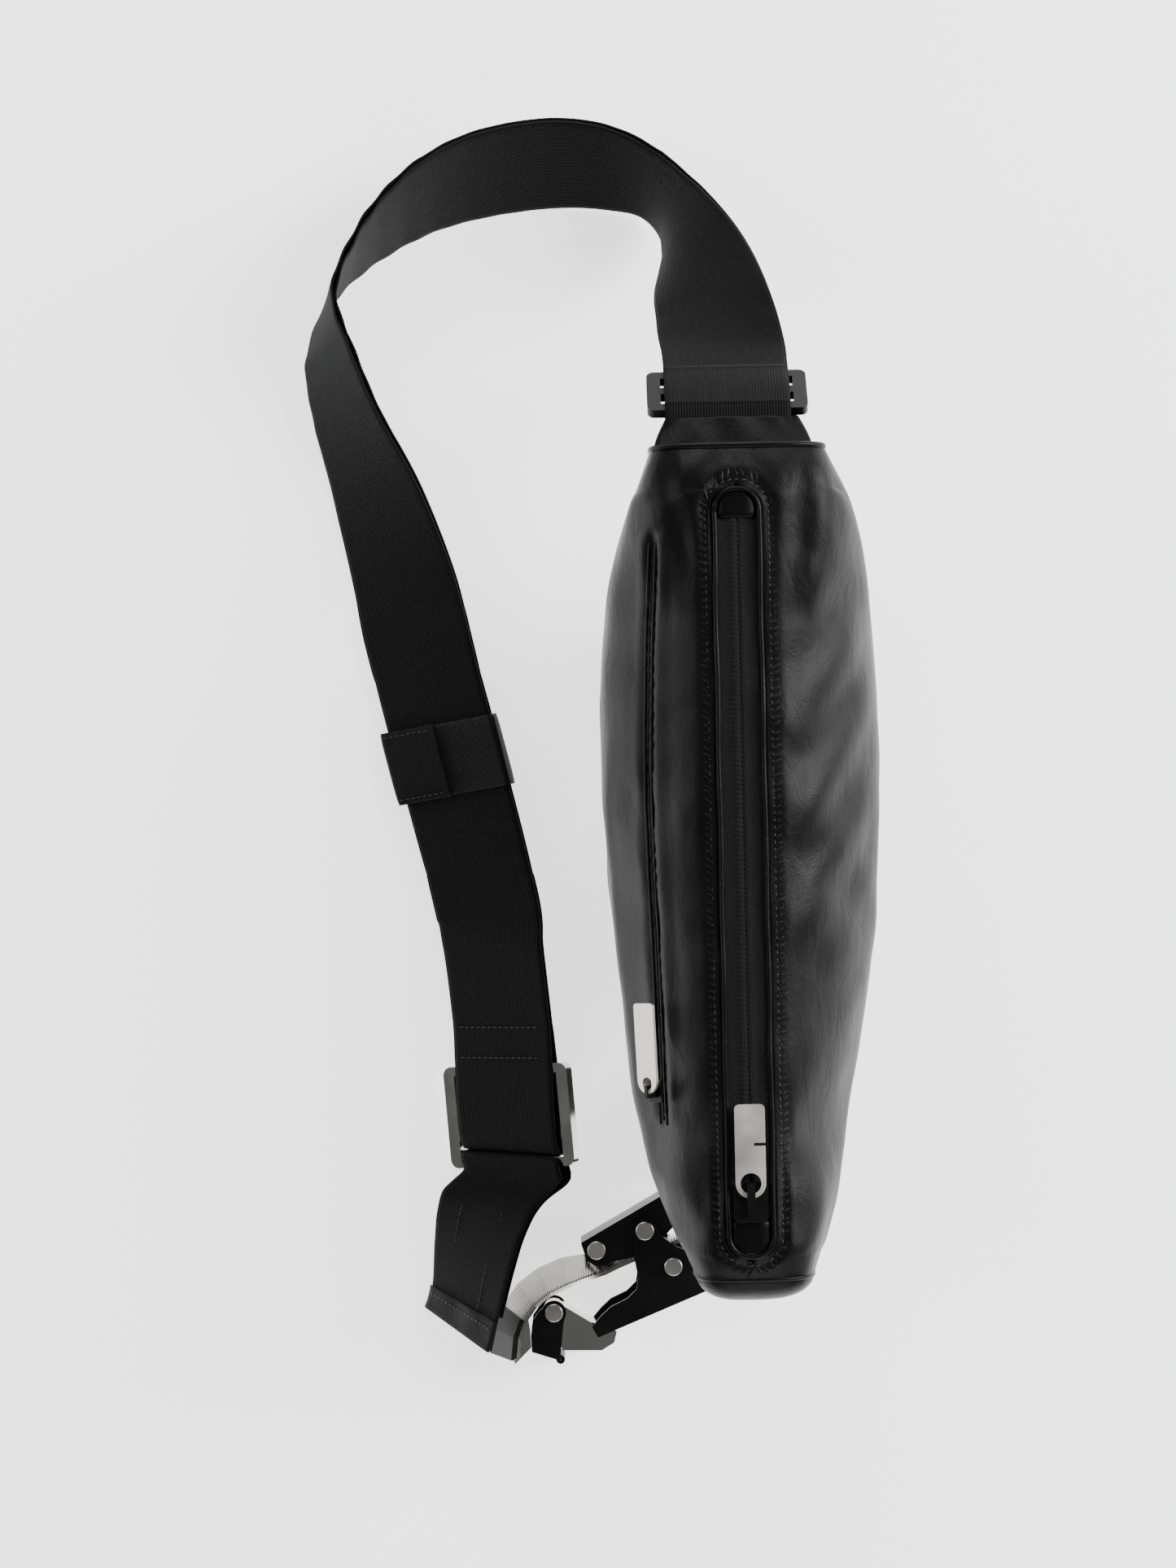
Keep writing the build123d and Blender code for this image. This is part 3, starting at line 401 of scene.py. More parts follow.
class Ribbon:
    """A band of webbing: its middle line, half-width vector and normal at even steps."""

    def __init__(self, stations, step, width=50.0):
        low = np.array([s[0] for s in stations], float)
        high = np.array([s[1] for s in stations], float)
        mid = (low + high) / 2
        count = int(np.linalg.norm(np.diff(mid, axis=0), axis=1).sum() / step)
        lo, hi, mids = spline(low, count), spline(high, count), spline(mid, count)
        self.at = mids
        across = unit(hi - lo)
        along = unit(np.gradient(mids, axis=0))
        self.half = across * (width / 2)
        self.normal = unit(np.cross(across, along))
        self.s = lengths_along(mids)
        self.along = along

    def cut(self, a, b):
        """The stretch of the ribbon from step a up to step b."""
        part = object.__new__(Ribbon)
        for key in ("at", "half", "normal", "along", "s"):
            setattr(part, key, getattr(self, key)[a:b])
        return part


def web(name, at, half, normal, s, thick=1.3, mat=None, body="bag", replaces=(), across=26,
        curl=None):
    """A closed band with rounded woven edges about a middle line, in millimetres."""
    n = len(at)
    edge = np.linspace(-1, 1, across)
    swell = 1.0 + 0.28 * np.exp(-((1 - np.abs(edge)) / 0.045) ** 2)
    swell *= np.sqrt(np.clip(1 - np.maximum(np.abs(edge) - 0.985, 0) / 0.015, 0.12, 1))
    top, bottom = [], []
    for j, e in enumerate(edge):
        lift = curl(s, e)[:, None] * normal if curl else 0.0
        base = at + half * e + lift
        top.append(base + normal * (thick / 2 * swell[j]))
        bottom.append(base - normal * (thick / 2 * swell[j]))
    loop = top + bottom[::-1]
    verts = np.stack(loop, 1).reshape(-1, 3) * MM
    cols = len(loop)
    half_width = float(np.linalg.norm(half[0]))
    v = np.r_[edge, edge[::-1]] * half_width
    uvs = [(s[i], v[j]) for i in range(n) for j in range(cols)]
    obj = make(name, verts, capped_faces(n, cols), mat or WEBBING, body, replaces, uvs)
    outward(obj)
    return obj


# The two layers lie together along the strap and open to pass round the bar at each end.
whole = Ribbon(DESCENT + ARCH + RUN, 2.2)
total = whole.s[-1]
opened = between([(0, BAR_SPREAD), (20, 1.7), (34, 1.0), (total - 48, 1.0),
                  (total - 30, 2.2), (total - 13, BAR_SPREAD), (total, BAR_SPREAD)], whole.s)
TURN_STEPS = 7


def half_turn(ribbon, end, sign, reach=1.0):
    """A quarter turn of one layer round the bar at an end of the ribbon."""
    i = 0 if end == "start" else -1
    centre, half, normal = ribbon.at[i], ribbon.half[i], ribbon.normal[i]
    out = -ribbon.along[i] if end == "start" else ribbon.along[i]
    pts, nrm = [], []
    for a in np.linspace(math.pi / 2, 0, TURN_STEPS):
        ray = normal * (sign * math.sin(a)) + out * math.cos(a)
        pts.append(centre + (ray + out * (math.cos(a) * (reach - 1))) * BAR_SPREAD)
        nrm.append(ray * sign)
    return np.array(pts), repeated(half, TURN_STEPS), np.array(nrm)


def with_turns(ribbon, spread, sign, end=True, reach=1.0):
    """One layer of a ribbon with its quarter turns, as places, half-widths, normals and lengths."""
    layer = (ribbon.at + ribbon.normal * (spread * sign)[:, None], ribbon.half, ribbon.normal)
    turn = half_turn(ribbon, "start", sign)
    layer = [np.vstack([bend[:0:-1], flat]) for bend, flat in zip(turn, layer)]
    if end:
        turn = half_turn(ribbon, "end", sign, reach)
        layer = [np.vstack([flat, bend[1:]]) for bend, flat in zip(turn, layer)]
    at, half, normal = layer
    s = lengths_along(at)
    return at, half, normal, s


def strap_relief(s, e):
    """Soft ripples where the strap bends on the left, and a slight crown elsewhere."""
    bend = np.exp(-((s - 285) / 60) ** 2)
    ripple = 0.35 * np.sin(s * 0.42 + 2.2 * e) * (0.4 + 0.6 * e * e)
    return bend * ripple + 0.25 * (1 - e * e) * np.sin(s * 0.021)


outer_nodes = ["strap_outer_descent", "strap_outer_arch", "strap_outer_run", "strap_end_turns"]
inner_nodes = ["strap_inner_descent", "strap_inner_arch", "strap_inner_run"]
for sign, name, stood in ((-1, "strap_outer", outer_nodes), (1, "strap_inner", inner_nodes)):
    at, half, normal, s = with_turns(whole, opened, sign, reach=1.9)
    web(name, at, half, normal, s, replaces=stood, curl=strap_relief)

tail = Ribbon(TAIL, 1.6)
tail_total = tail.s[-1]
tail_open = between([(0, BAR_SPREAD), (6, 3.7), (16, 1.6), (24, 1.0), (tail_total, 1.0)], tail.s)


def tail_relief(s, e):
    """A slow wave, stronger on the side next to the bag's far edge."""
    return 0.5 * np.sin(s * 0.09 + 1.6 * e) * np.clip(s / 30, 0, 1) * (1 - 0.5 * e)


at, half, normal, s = with_turns(tail, tail_open, -1, end=False)
web("tail_upper", at, half, normal, s, mat=WEBBING_FINE, replaces=["tail_webbing", "tail_turn"],
    curl=tail_relief)
lower = tail.cut(0, len(tail.s) - 8)
at, half, normal, s = with_turns(lower, tail_open[:len(lower.s)], 1, end=False)
web("tail_lower", at, half, normal, s, mat=WEBBING_FINE, replaces=["band_webbing"], curl=tail_relief)


ROW_POINTS = 24


def across_row(name, ribbon, spread, where, sign):
    """A row of stitches across the webbing, on the layer that sign picks."""
    i = int(np.searchsorted(ribbon.s, where))
    base = ribbon.at[i] + ribbon.normal[i] * (sign * (spread[i] + STITCH_LIFT))
    line = np.array([base + ribbon.half[i] * e for e in np.linspace(-0.86, 0.86, ROW_POINTS)]) * MM
    nrm = repeated(ribbon.normal[i] * sign, ROW_POINTS)
    stitches(name, line, nrm, 2.1 * MM, STITCH_PITCH * MM, "bag", 0.26 * MM)


across_row("strap_stitches_a", whole, opened, total - 47.0, -1)
across_row("strap_stitches_b", whole, opened, total - 33.5, -1)


def along_row(name, ribbon, spread, e, a, b, sign):
    """A row of stitches along the webbing from length a to b, at e of its half-width."""
    sel = (ribbon.s >= a) & (ribbon.s <= b)
    pts = ribbon.at + ribbon.half * e + ribbon.normal * (sign * (spread + STITCH_LIFT))[:, None]
    stitches(name, pts[sel] * MM, ribbon.normal[sel] * sign, 2.1 * MM, STITCH_PITCH * MM, "bag", 0.24 * MM)


along_row("tail_stitches_a", tail, tail_open, -0.45, 26, tail_total - 10, -1)
along_row("tail_stitches_b", tail, tail_open, 0.42, 26, tail_total - 10, -1)

# The leather cap folded round the tail's end.
cap_from = int(np.searchsorted(tail.s, tail_total - 12.5))
cap = tail.cut(cap_from, len(tail.s))
wave = np.linspace(0, 1, len(cap.s))
cap_at = cap.at - cap.normal * 2.35
cap_half = cap.half * 1.045


def cap_curl(s, e):
    """Puckers where the cap starts, and a fall towards its folded end."""
    return 0.5 * np.cos(7 * e + 1) * (1 - wave) - 0.6 * np.exp(-((wave - 1) / 0.2) ** 2)


web("tail_cap_leather", cap_at, cap_half, cap.normal, cap.s - cap.s[0], 1.25, LEATHER_MATTE,
    replaces=["tail_cap"], curl=cap_curl)
i = 2
rim = [cap_at[i] + cap_half[i] * e - cap.normal[i] * 0.75 for e in np.linspace(-0.92, 0.92, ROW_POINTS)]
stitches("tail_cap_stitches", np.array(rim) * MM, repeated(-cap.normal[i], ROW_POINTS), 2.2 * MM, 3.0 * MM)

# ---- keeper ----
keeper_step = int(np.argmin(np.linalg.norm(whole.at - np.array((-118.7, 42.0, 17.0)), axis=1)))
keeper_lo, keeper_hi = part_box("keeper_webbing")
keeper_at = np.array((keeper_lo + keeper_hi) / 2) / MM
keeper_half = whole.half[keeper_step] / np.linalg.norm(whole.half[keeper_step])
keeper_normal, keeper_along = whole.normal[keeper_step], whole.along[keeper_step]


def sleeve(name, size, span, length, mat, stood, corner=2.2, flare=0.0, wall=1.25):
    """A flat loop round the strap: size is its outer (width, height); span keeps part of it."""
    w, h = size[0] / 2, size[1] / 2
    outline = []
    for cx, cy, a0 in ((w - corner, h - corner, 0), (-w + corner, h - corner, 90),
                       (-w + corner, -h + corner, 180), (w - corner, -h + corner, 270)):
        for a in np.linspace(a0, a0 + 90, 7):
            turn = math.radians(a)
            outline.append((cx + corner * math.cos(turn), cy + corner * math.sin(turn)))
    pts = np.array(outline + [outline[0]])
    chord = lengths_along(pts)
    steps = np.linspace(0, chord[-1], 160)[:-1]
    dense = at_length(steps, chord, pts)
    keep = dense[(dense[:, 0] >= span[0]) & (dense[:, 0] <= span[1])]
    full = len(keep) == len(dense)
    if not full:
        keep = np.roll(dense, -int(np.argmax(dense[:, 0])), 0)
        keep = keep[(keep[:, 0] >= span[0]) & (keep[:, 0] <= span[1])]
    rows = 26
    verts, uvs = [], []
    for r in np.linspace(-1, 1, rows):
        tuck = 0.35 * abs(r) ** 6
        for layer in (0, 1):
            for x, y in keep[::-1] if layer else keep:
                inset = wall - tuck if layer else tuck
                sx, sy = x / (w + 1e-9), y / (h + 1e-9)
                px = x - np.sign(x) * inset * (abs(sx) > 0.93)
                py = y - np.sign(y) * inset * (abs(sy) > 0.6)
                bow = flare * (1 - r * r) * (1 - sx * sx) * np.sign(y)
                p = keeper_half * px + keeper_normal * (py + bow) + keeper_along * (r * length / 2)
                verts.append((keeper_at + p) * MM)
                uvs.append((r * length / 2, x))
    outer, cols = len(keep), len(keep) * 2
    ends = [(a, (a + 1) % outer) for a in range(outer if full else outer - 1)]
    walls = [(a, (a + 1) % cols) for a in range(cols)]
    if full:
        walls = ends + [(cols - 1 - a, cols - 1 - b) for a, b in ends]
    faces = [(i + a, i + b, i + cols + b, i + cols + a)
             for i in range(0, (rows - 1) * cols, cols) for a, b in walls]
    faces += [(i + a, i + b, i + cols - 1 - b, i + cols - 1 - a)
              for i in (0, (rows - 1) * cols) for a, b in ends]
    obj = make(name, verts, faces, mat, "keeper", stood, uvs)
    outward(obj)
    return obj


sleeve("keeper_band", (54.0, 7.3), (-40, 40), 31.0, SATIN, ["keeper_webbing"], flare=0.5)
sleeve("keeper_cover", (56.4, 9.7), (-40, -0.6), 32.0, LEATHER_MATTE, ["keeper_leather"],
       flare=0.6)
for tag, offset in (("a", -13.8), ("b", 13.8)):
    start = keeper_at - keeper_normal * 5.0 + keeper_along * offset
    row = np.array([start + keeper_half * x for x in np.linspace(-26, -2, 12)]) * MM
    stitches(f"keeper_stitches_{tag}", row, repeated(-keeper_normal, len(row)), 2.0 * MM, 2.8 * MM,
             "keeper", 0.22 * MM)

# ---- leather body ----
HEAD_Y, FOOT_Y = 168.0, -160.5
# (y, half-width) of the bag's right and left, from points read off its outline in the photo.
RIGHT = [(-162, 25.0), (-158, 27.0), (-146, 30.6), (-132, 34.6), (-116, 37.8), (-92, 42.8), (-72, 46.6),
         (-52, 49.8), (-29, 52.8), (1, 55.2), (21, 56.2), (55, 56.8), (88, 55.9), (115, 53.2), (138, 48.5),
         (155, 43.0), (170, 35.0)]
LEFT = [(-162, 21.0), (-158, 23.0), (-147, 26.6), (-138, 30.0), (-121, 36.6), (-98, 41.6), (-66, 45.3),
        (-45, 46.6), (-18, 49.0), (8, 51.1), (30, 52.0), (69, 52.8), (85, 52.1), (108, 49.0), (128, 45.0),
        (154, 39.0), (170, 32.5)]


def smooth_profile(table):
    """The half-widths in a table, evened out along y so that no corner shows."""
    ys = np.arange(-176.0, 184.0, 1.0)
    vals = between(table, ys)
    kernel = np.exp(-np.linspace(-2, 2, 17) ** 2)
    kernel /= kernel.sum()
    vals = np.convolve(np.pad(vals, 8, mode="edge"), kernel, mode="valid")
    return lambda y: float(np.interp(y, ys, vals))


right_of, left_of = smooth_profile(RIGHT), smooth_profile(LEFT)


def z_low(y):
    past = max(0.0, abs(y) - 105.0) / 67.0
    return 0.3 + 112.0 * past ** 0.75


def z_high(y):
    drop = max(0.0, (y - 148) / 20) ** 2 * 5 if y > 0 else max(0.0, (-y - 146) / 14.5) ** 2 * 5
    return 149.4 - drop


def section(y, cut, count):
    """Even points round the bag at y, from the slot's right edge to its left edge."""
    low, high = z_low(y), z_high(y)
    mid, rise = (low + high) / 2, (high - low) / 2
    end = min(1.0, max(0.0, (abs(y) - 100) / 60))
    n_top, n_low = 2.45 + 0.9 * end, 3.0 + 0.4 * end
    a = np.linspace(0, 2 * math.pi, 721)
    sx, cz = np.sin(a), np.cos(a)
    n = np.where(cz > 0, n_top, n_low)
    width = np.where(sx > 0, right_of(y), left_of(y))
    x = width * np.sign(sx) * np.abs(sx) ** (2 / n)
    z = mid + rise * np.sign(cz) * np.abs(cz) ** (2 / n)
    pts = np.stack([x, z], 1)
    chord = lengths_along(pts)
    start = np.interp(cut, x[:120], chord[:120])
    stop = chord[-1] - np.interp(cut, -x[::-1][:120], chord[:120])
    place = start + (stop - start) * np.linspace(0, 1, count)
    return at_length(place, chord, pts).T


SLOT, SLOT_HEAD, SLOT_FOOT = 9.2, 151.5, -152.0
CORNER = 8.6


def slot_half(y):
    """Half-width of the zip's slot at y: straight, with round ends."""
    for end, way in ((SLOT_HEAD, 1), (SLOT_FOOT, -1)):
        past = way * (y - (end - way * CORNER))
        if past > 0:
            return SLOT - CORNER + math.sqrt(max(0.0, CORNER ** 2 - past ** 2)) if past < CORNER else 0.0
    return SLOT


COLS = 132
# Rows crowd together at the slot's round ends.
SLOT_ROWS = [end - way * d for end, way in ((SLOT_HEAD, 1), (SLOT_FOOT, -1))
             for d in (0.0, 0.6, 1.5, 2.8, 4.6)]
ys = sorted(SLOT_ROWS + [v for v in np.linspace(FOOT_Y, HEAD_Y, 112)
                         if min(abs(v - w) for w in SLOT_ROWS) > 0.55])


def body_row(y):
    x, z = section(y, slot_half(y), COLS)
    return np.stack([x, np.full(COLS, y), z], 1)


def dome_rows(y0, way, bulge):
    """Shrinking rows that close an end of the bag, bulging past y0."""
    x, z = section(y0, 0.0, COLS)
    mid = float(z.mean())
    rows = []
    for t in np.linspace(0.12, 0.94, 7):
        shrink = math.cos(t * math.pi / 2) ** 0.7
        y = y0 + way * bulge * math.sin(t * math.pi / 2)
        rows.append(np.stack([x * shrink, np.full(COLS, y), mid + (z - mid) * shrink], 1))
    return rows


foot_rows, head_rows = dome_rows(FOOT_Y, -1, 11.0), dome_rows(HEAD_Y, 1, 3.5)
body_rows = np.array(foot_rows[::-1] + [body_row(y) for y in ys] + head_rows)
first, last = len(foot_rows), len(foot_rows) + len(ys) - 1
BODY_FACES = capped_faces(len(body_rows), COLS, False)


CLOTH_FRAMES = 20
CLOTH_REACH = 4.0    # no point is moved further than this, in mm
CLOTH_SHARE = 0.85   # how much of the smoothed movement is kept


def cloth_shape(points):
    """Inflates the leather a little with cloth simulation, held at its seams, and returns its points."""
    mesh = bpy.data.meshes.new("body")
    mesh.from_pydata([tuple(v) for v in points.reshape(-1, 3) * MM], [], BODY_FACES)
    obj = bpy.data.objects.new("body_cloth", mesh)
    bpy.context.scene.collection.objects.link(obj)
    held = obj.vertex_groups.new(name="held")
    for i in range(len(points)):
        for j in range(COLS):
            x, y, z = points[i, j]
            edge = min(j, COLS - 1 - j)
            if i <= first or i >= last or (edge <= 2 and SLOT_FOOT - 4 < y < SLOT_HEAD + 4) or z < 0.6:
                held.add([i * COLS + j], 1.0, "REPLACE")
            elif edge <= 9:
                held.add([i * COLS + j], 0.25 * (1 - edge / 10), "REPLACE")
    outward(obj)
    cloth = obj.modifiers.new("cloth", "CLOTH")
    settings = cloth.settings
    settings.quality = 6
    settings.mass = 0.4
    settings.tension_stiffness = 18
    settings.compression_stiffness = 14
    settings.shear_stiffness = 4
    settings.bending_stiffness = 6.0
    settings.vertex_group_mass = "held"
    settings.use_pressure = True
    settings.uniform_pressure_force = 4.0
    settings.shrink_min = -0.012
    settings.shrink_max = -0.012
    settings.effector_weights.gravity = 0.0
    cloth.collision_settings.use_collision = False
    cloth.point_cache.frame_start = 1
    cloth.point_cache.frame_end = CLOTH_FRAMES
    scene = bpy.context.scene
    for f in range(1, CLOTH_FRAMES + 1):
        scene.frame_set(f)
    evaluated = obj.evaluated_get(bpy.context.evaluated_depsgraph_get())
    moved = np.array([v.co for v in evaluated.data.vertices], float).reshape(points.shape) / MM
    scene.frame_set(1)
    bpy.data.objects.remove(obj)
    shift = moved - points
    size = np.linalg.norm(shift, axis=2, keepdims=True)
    shift *= np.minimum(1.0, CLOTH_REACH / np.maximum(size, 1e-9))
    for _ in range(6):
        shift[1:-1, 1:-1] = (shift[1:-1, 1:-1] * 2 + shift[:-2, 1:-1] + shift[2:, 1:-1]
                             + shift[1:-1, :-2] + shift[1:-1, 2:]) / 6
    return points + shift * CLOTH_SHARE


shaped = cloth_shape(body_rows)


def fold_height(x, y, folds):
    """Soft ridges and valleys: each fold is a line of (x, y) points with a width and a height."""
    total_height = np.zeros_like(x)
    for line, width, height in folds:
        best = np.full(x.shape, 1e9)
        share = np.zeros_like(x)
        pts = np.array(line, float)
        for k in range(len(pts) - 1):
            a, d = pts[k], pts[k + 1] - pts[k]
            t = np.clip(((x - a[0]) * d[0] + (y - a[1]) * d[1]) / (d @ d), 0, 1)
            dist = np.hypot(x - a[0] - t * d[0], y - a[1] - t * d[1])
            nearer = dist < best
            best = np.where(nearer, dist, best)
            share = np.where(nearer, (k + t) / (len(pts) - 1), share)
        fade = np.sin(np.clip(share, 0.02, 0.98) * math.pi) ** 0.6
        total_height += 0.62 * height * fade * np.exp(-(best / (1.3 * width)) ** 2)
    return total_height


FOLDS = [
    ([(32, 168), (35, 152), (34, 134), (29, 112)], 3.2, 1.5),
    ([(24, 166), (26, 146), (23, 122), (20, 96)], 3.6, -1.3),
    ([(14, 166), (19, 146), (21, 120)], 2.6, 0.8),
    ([(19, 90), (26, 104), (34, 124), (38, 142)], 5.2, 1.5),
    ([(24, 76), (36, 94), (46, 116), (49, 132)], 5.6, -1.7),
    ([(17, 50), (27, 64), (41, 86), (53, 112)], 6.4, 2.3),
    ([(22, 40), (35, 54), (47, 74), (56, 96)], 5.0, -1.9),
    ([(15, 10), (26, 26), (39, 48), (52, 78)], 7.0, 2.4),
    ([(20, -4), (33, 12), (46, 36), (56, 58)], 5.4, -2.0),
    ([(15, -34), (25, -18), (38, 6), (53, 36)], 7.6, 1.9),
    ([(19, -58), (31, -38), (45, -10), (54, 10)], 6.2, -1.5),
    ([(17, -92), (26, -72), (36, -48), (46, -26)], 7.0, 1.2),
    ([(18, -128), (24, -108), (32, -84)], 5.5, -0.9),
    ([(27, 120), (30, 84), (33, 40), (34, -10)], 10.0, 0.9),
    ([(-32, 166), (-33, 152), (-29, 136), (-22, 118), (-18, 98)], 3.4, 1.9),
    ([(-27, 166), (-27, 150), (-22, 132), (-17, 110)], 3.0, -1.6),
    ([(-21, 166), (-21, 150), (-16, 130), (-13, 108)], 2.8, 1.0),
    ([(-14, 168), (-15, 158), (-13, 148)], 2.2, 0.9),
    ([(-9, 167), (-9, 160), (-7, 155)], 1.6, -0.5),
    ([(7, 167), (8, 160), (8, 155)], 1.6, -0.5),
    ([(-17, 96), (-21, 56), (-22, 0), (-21, -60), (-19, -118)], 5.4, 1.3),
    ([(-28, 118), (-29, 60), (-29, 0), (-28, -60), (-25, -112)], 3.6, -1.0),
    ([(-13, 92), (-15, 40), (-15, -20), (-15, -90)], 3.0, -0.8),
    ([(-14, -78), (-18, -100), (-17, -130), (-12, -152)], 4.0, -1.0),
    ([(-24, -96), (-26, -118), (-21, -146)], 4.4, 1.1),
    ([(15, -118), (20, -138), (17, -156)], 4.2, 0.9),
    ([(-12, -157), (0, -159), (12, -157)], 2.4, 0.7),
    ([(-44, 96), (-46, 60), (-46, 10), (-43, -40)], 6.5, 1.4),
    ([(-41, 126), (-40, 90), (-41, 50)], 3.2, -1.0),
]
# The pocket's mouth: its (y, x) places, and where it ends.
POCKET = [(-102, -33.0), (-97, -33.4), (-60, -34.2), (-22, -35.2), (0, -36.0), (30, -36.6), (58, -36.3),
          (90, -35.2), (122, -33.6), (134, -33.0)]
POCKET_FOOT, POCKET_HEAD = -101, 133


def normals_of(points):
    """Outward normals of the rows, each within its own plane across the bag."""
    dv = np.gradient(points, axis=1)
    n = np.cross(dv, np.array([0.0, 1.0, 0.0]))
    n = unit(n)
    centre = points.mean(axis=1, keepdims=True)
    flip = np.sign(((points - centre) * n).sum(axis=2).mean())
    return n * flip


def slot_distance(x, y):
    """Distance outside the slot's edge."""
    straight = np.clip(y, SLOT_FOOT + CORNER, SLOT_HEAD - CORNER)
    return np.hypot(np.maximum(np.abs(x) - (SLOT - CORNER), 0), y - straight) - CORNER


normal_field = normals_of(shaped)
swollen = ((shaped - body_rows) * normal_field).sum(axis=2).mean(axis=1)
shaped = shaped - normal_field * (0.9 * swollen[:, None, None])
X, Y, Z = shaped[..., 0], shaped[..., 1], shaped[..., 2]
upper = np.clip((Z - 70) / 25, 0, 1)
height = fold_height(X, Y, FOLDS) * upper
d = slot_distance(X, Y)
near = np.clip((Z - 120) / 10, 0, 1)
height += near * (0.5 * np.exp(-((d - 0.8) / 1.6) ** 2) - 0.9 * np.exp(-((d - 3.6) / 1.3) ** 2)
                  + 0.5 * np.exp(-((d - 7.0) / 2.4) ** 2))
inside = (Y > POCKET_FOOT) & (Y < POCKET_HEAD) & (Z > 95) & (X < 0)
gap = X - between(POCKET, Y)
height += inside * (-1.9 * np.exp(-(gap / 1.5) ** 2) + 0.8 * np.exp(-((gap + 3.4) / 2.0) ** 2)
                    + 0.8 * np.exp(-((gap - 3.4) / 2.2) ** 2))
seed = rng.normal(size=(24, 20))


def bilinear(table, u, v):
    """Smooth values at places u, v from 0 to 1 in a table."""
    u, v = u * (table.shape[0] - 1), v * (table.shape[1] - 1)
    i, j = np.minimum(u.astype(int), table.shape[0] - 2), np.minimum(v.astype(int), table.shape[1] - 2)
    a, b = u - i, v - j
    a, b = a * a * (3 - 2 * a), b * b * (3 - 2 * b)
    return (table[i, j] * (1 - a) * (1 - b) + table[i + 1, j] * a * (1 - b)
            + table[i, j + 1] * (1 - a) * b + table[i + 1, j + 1] * a * b)


row_place = np.linspace(0, 1, shaped.shape[0])[:, None] + np.zeros(shaped.shape[:2])
col_place = np.linspace(0, 1, COLS)[None] + np.zeros(shaped.shape[:2])
height += 0.32 * bilinear(seed, row_place, col_place) * np.clip(Z / 20, 0, 1)
height[:first + 1] *= 0.3
height[last:] *= 0.3
# Where the slot is shut, a row's two ends meet and share one place and one normal.
shut = (np.abs(X[:, 0] - X[:, -1]) < 0.8) & (np.abs(Y[:, 0]) > 140)
joined = (normal_field[:, 0] + normal_field[:, -1]) / 2
normal_field[shut, 0] = joined[shut]
normal_field[shut, -1] = joined[shut]
final = shaped + normal_field * height[..., None]
final[..., 2] = np.maximum(final[..., 2], 0.25)
meeting = (final[:, 0] + final[:, -1]) / 2
final[shut, 0] = meeting[shut]
final[shut, -1] = meeting[shut]

PANELS = ["zip_gusset", "front_panel", "back_panel", "base_gusset", "head_end_panel", "foot_end_panel"]
INSIDE = ["front_padding", "back_padding", "lining", "base_board", "pocket_pouch"]
bag = make("bag_leather", final.reshape(-1, 3) * MM, BODY_FACES, LEATHER, "bag", PANELS + INSIDE)
bm = bmesh.new()
bm.from_mesh(bag.data)
bmesh.ops.remove_doubles(bm, verts=bm.verts, dist=0.00002)
bmesh.ops.recalc_face_normals(bm, faces=bm.faces)
rim_edges = [e for e in bm.edges if e.is_boundary]
turned = bmesh.ops.extrude_edge_only(bm, edges=rim_edges)
for v in [g for g in turned["geom"] if isinstance(g, bmesh.types.BMVert)]:
    v.co.z -= 0.0035
    v.co.x *= 0.93
bmesh.ops.recalc_face_normals(bm, faces=bm.faces)
for f in bm.faces:
    f.smooth = True
bm.to_mesh(bag.data)
bm.free()
subdivided = bag.modifiers.new("smooth", "SUBSURF")
subdivided.levels = 1
subdivided.render_levels = 1


def surface(x, y):
    """Height and normal of the bag's upper side at x, y, from the final grid."""
    d2 = (final[..., 0] - x) ** 2 + (final[..., 1] - y) ** 2 + np.where(final[..., 2] < 112, 1e6, 0)
    flat_order = np.argpartition(d2.ravel(), 4)[:4]
    w = 1 / (d2.ravel()[flat_order] + 0.05)
    w /= w.sum()
    z = float((final[..., 2].ravel()[flat_order] * w).sum())
    n = (normal_field.reshape(-1, 3)[flat_order] * w[:, None]).sum(0)
    return z, unit(n)


def stadium(offset, step=1.6):
    """The slot's outline moved outwards by offset, as closed (x, y) points."""
    half, radius = SLOT + offset, CORNER + offset
    low, high = SLOT_FOOT + CORNER, SLOT_HEAD - CORNER
    pts = []
    for way, start, end, turn in ((1, low, high, 0.0), (-1, high, low, math.pi)):
        pts += [(way * half, y) for y in np.arange(start, end, way * step)]
        arc = np.linspace(turn, turn + math.pi, 22)
        pts += [(half * math.cos(a), end + radius * math.sin(a)) for a in arc]
    return pts


# Rolled lips of the zip's welt, and the stitching outside them.
lip = []
for x, y in stadium(-0.35):
    z, _ = surface(x * 1.08, y)
    lip.append((x + 0.15 * math.sin(y * 0.11), y, min(z + 0.15, 149.85) + 0.08 * math.sin(y * 0.23)))
v, f = tube(np.array(lip) * MM, 0.95 * MM, 12, True, 0.85)
outward(make("zip_welt_lip", v, f, LEATHER_EDGE, "bag"))
line, nrm = [], []
for x, y in stadium(3.3):
    z, n = surface(x, y)
    line.append((x, y, z - 0.05))
    nrm.append(n)
stitches("zip_welt_stitches", np.array(line) * MM, nrm, 2.2 * MM, STITCH_PITCH * MM, radius=0.3 * MM,
         lean=0.22)

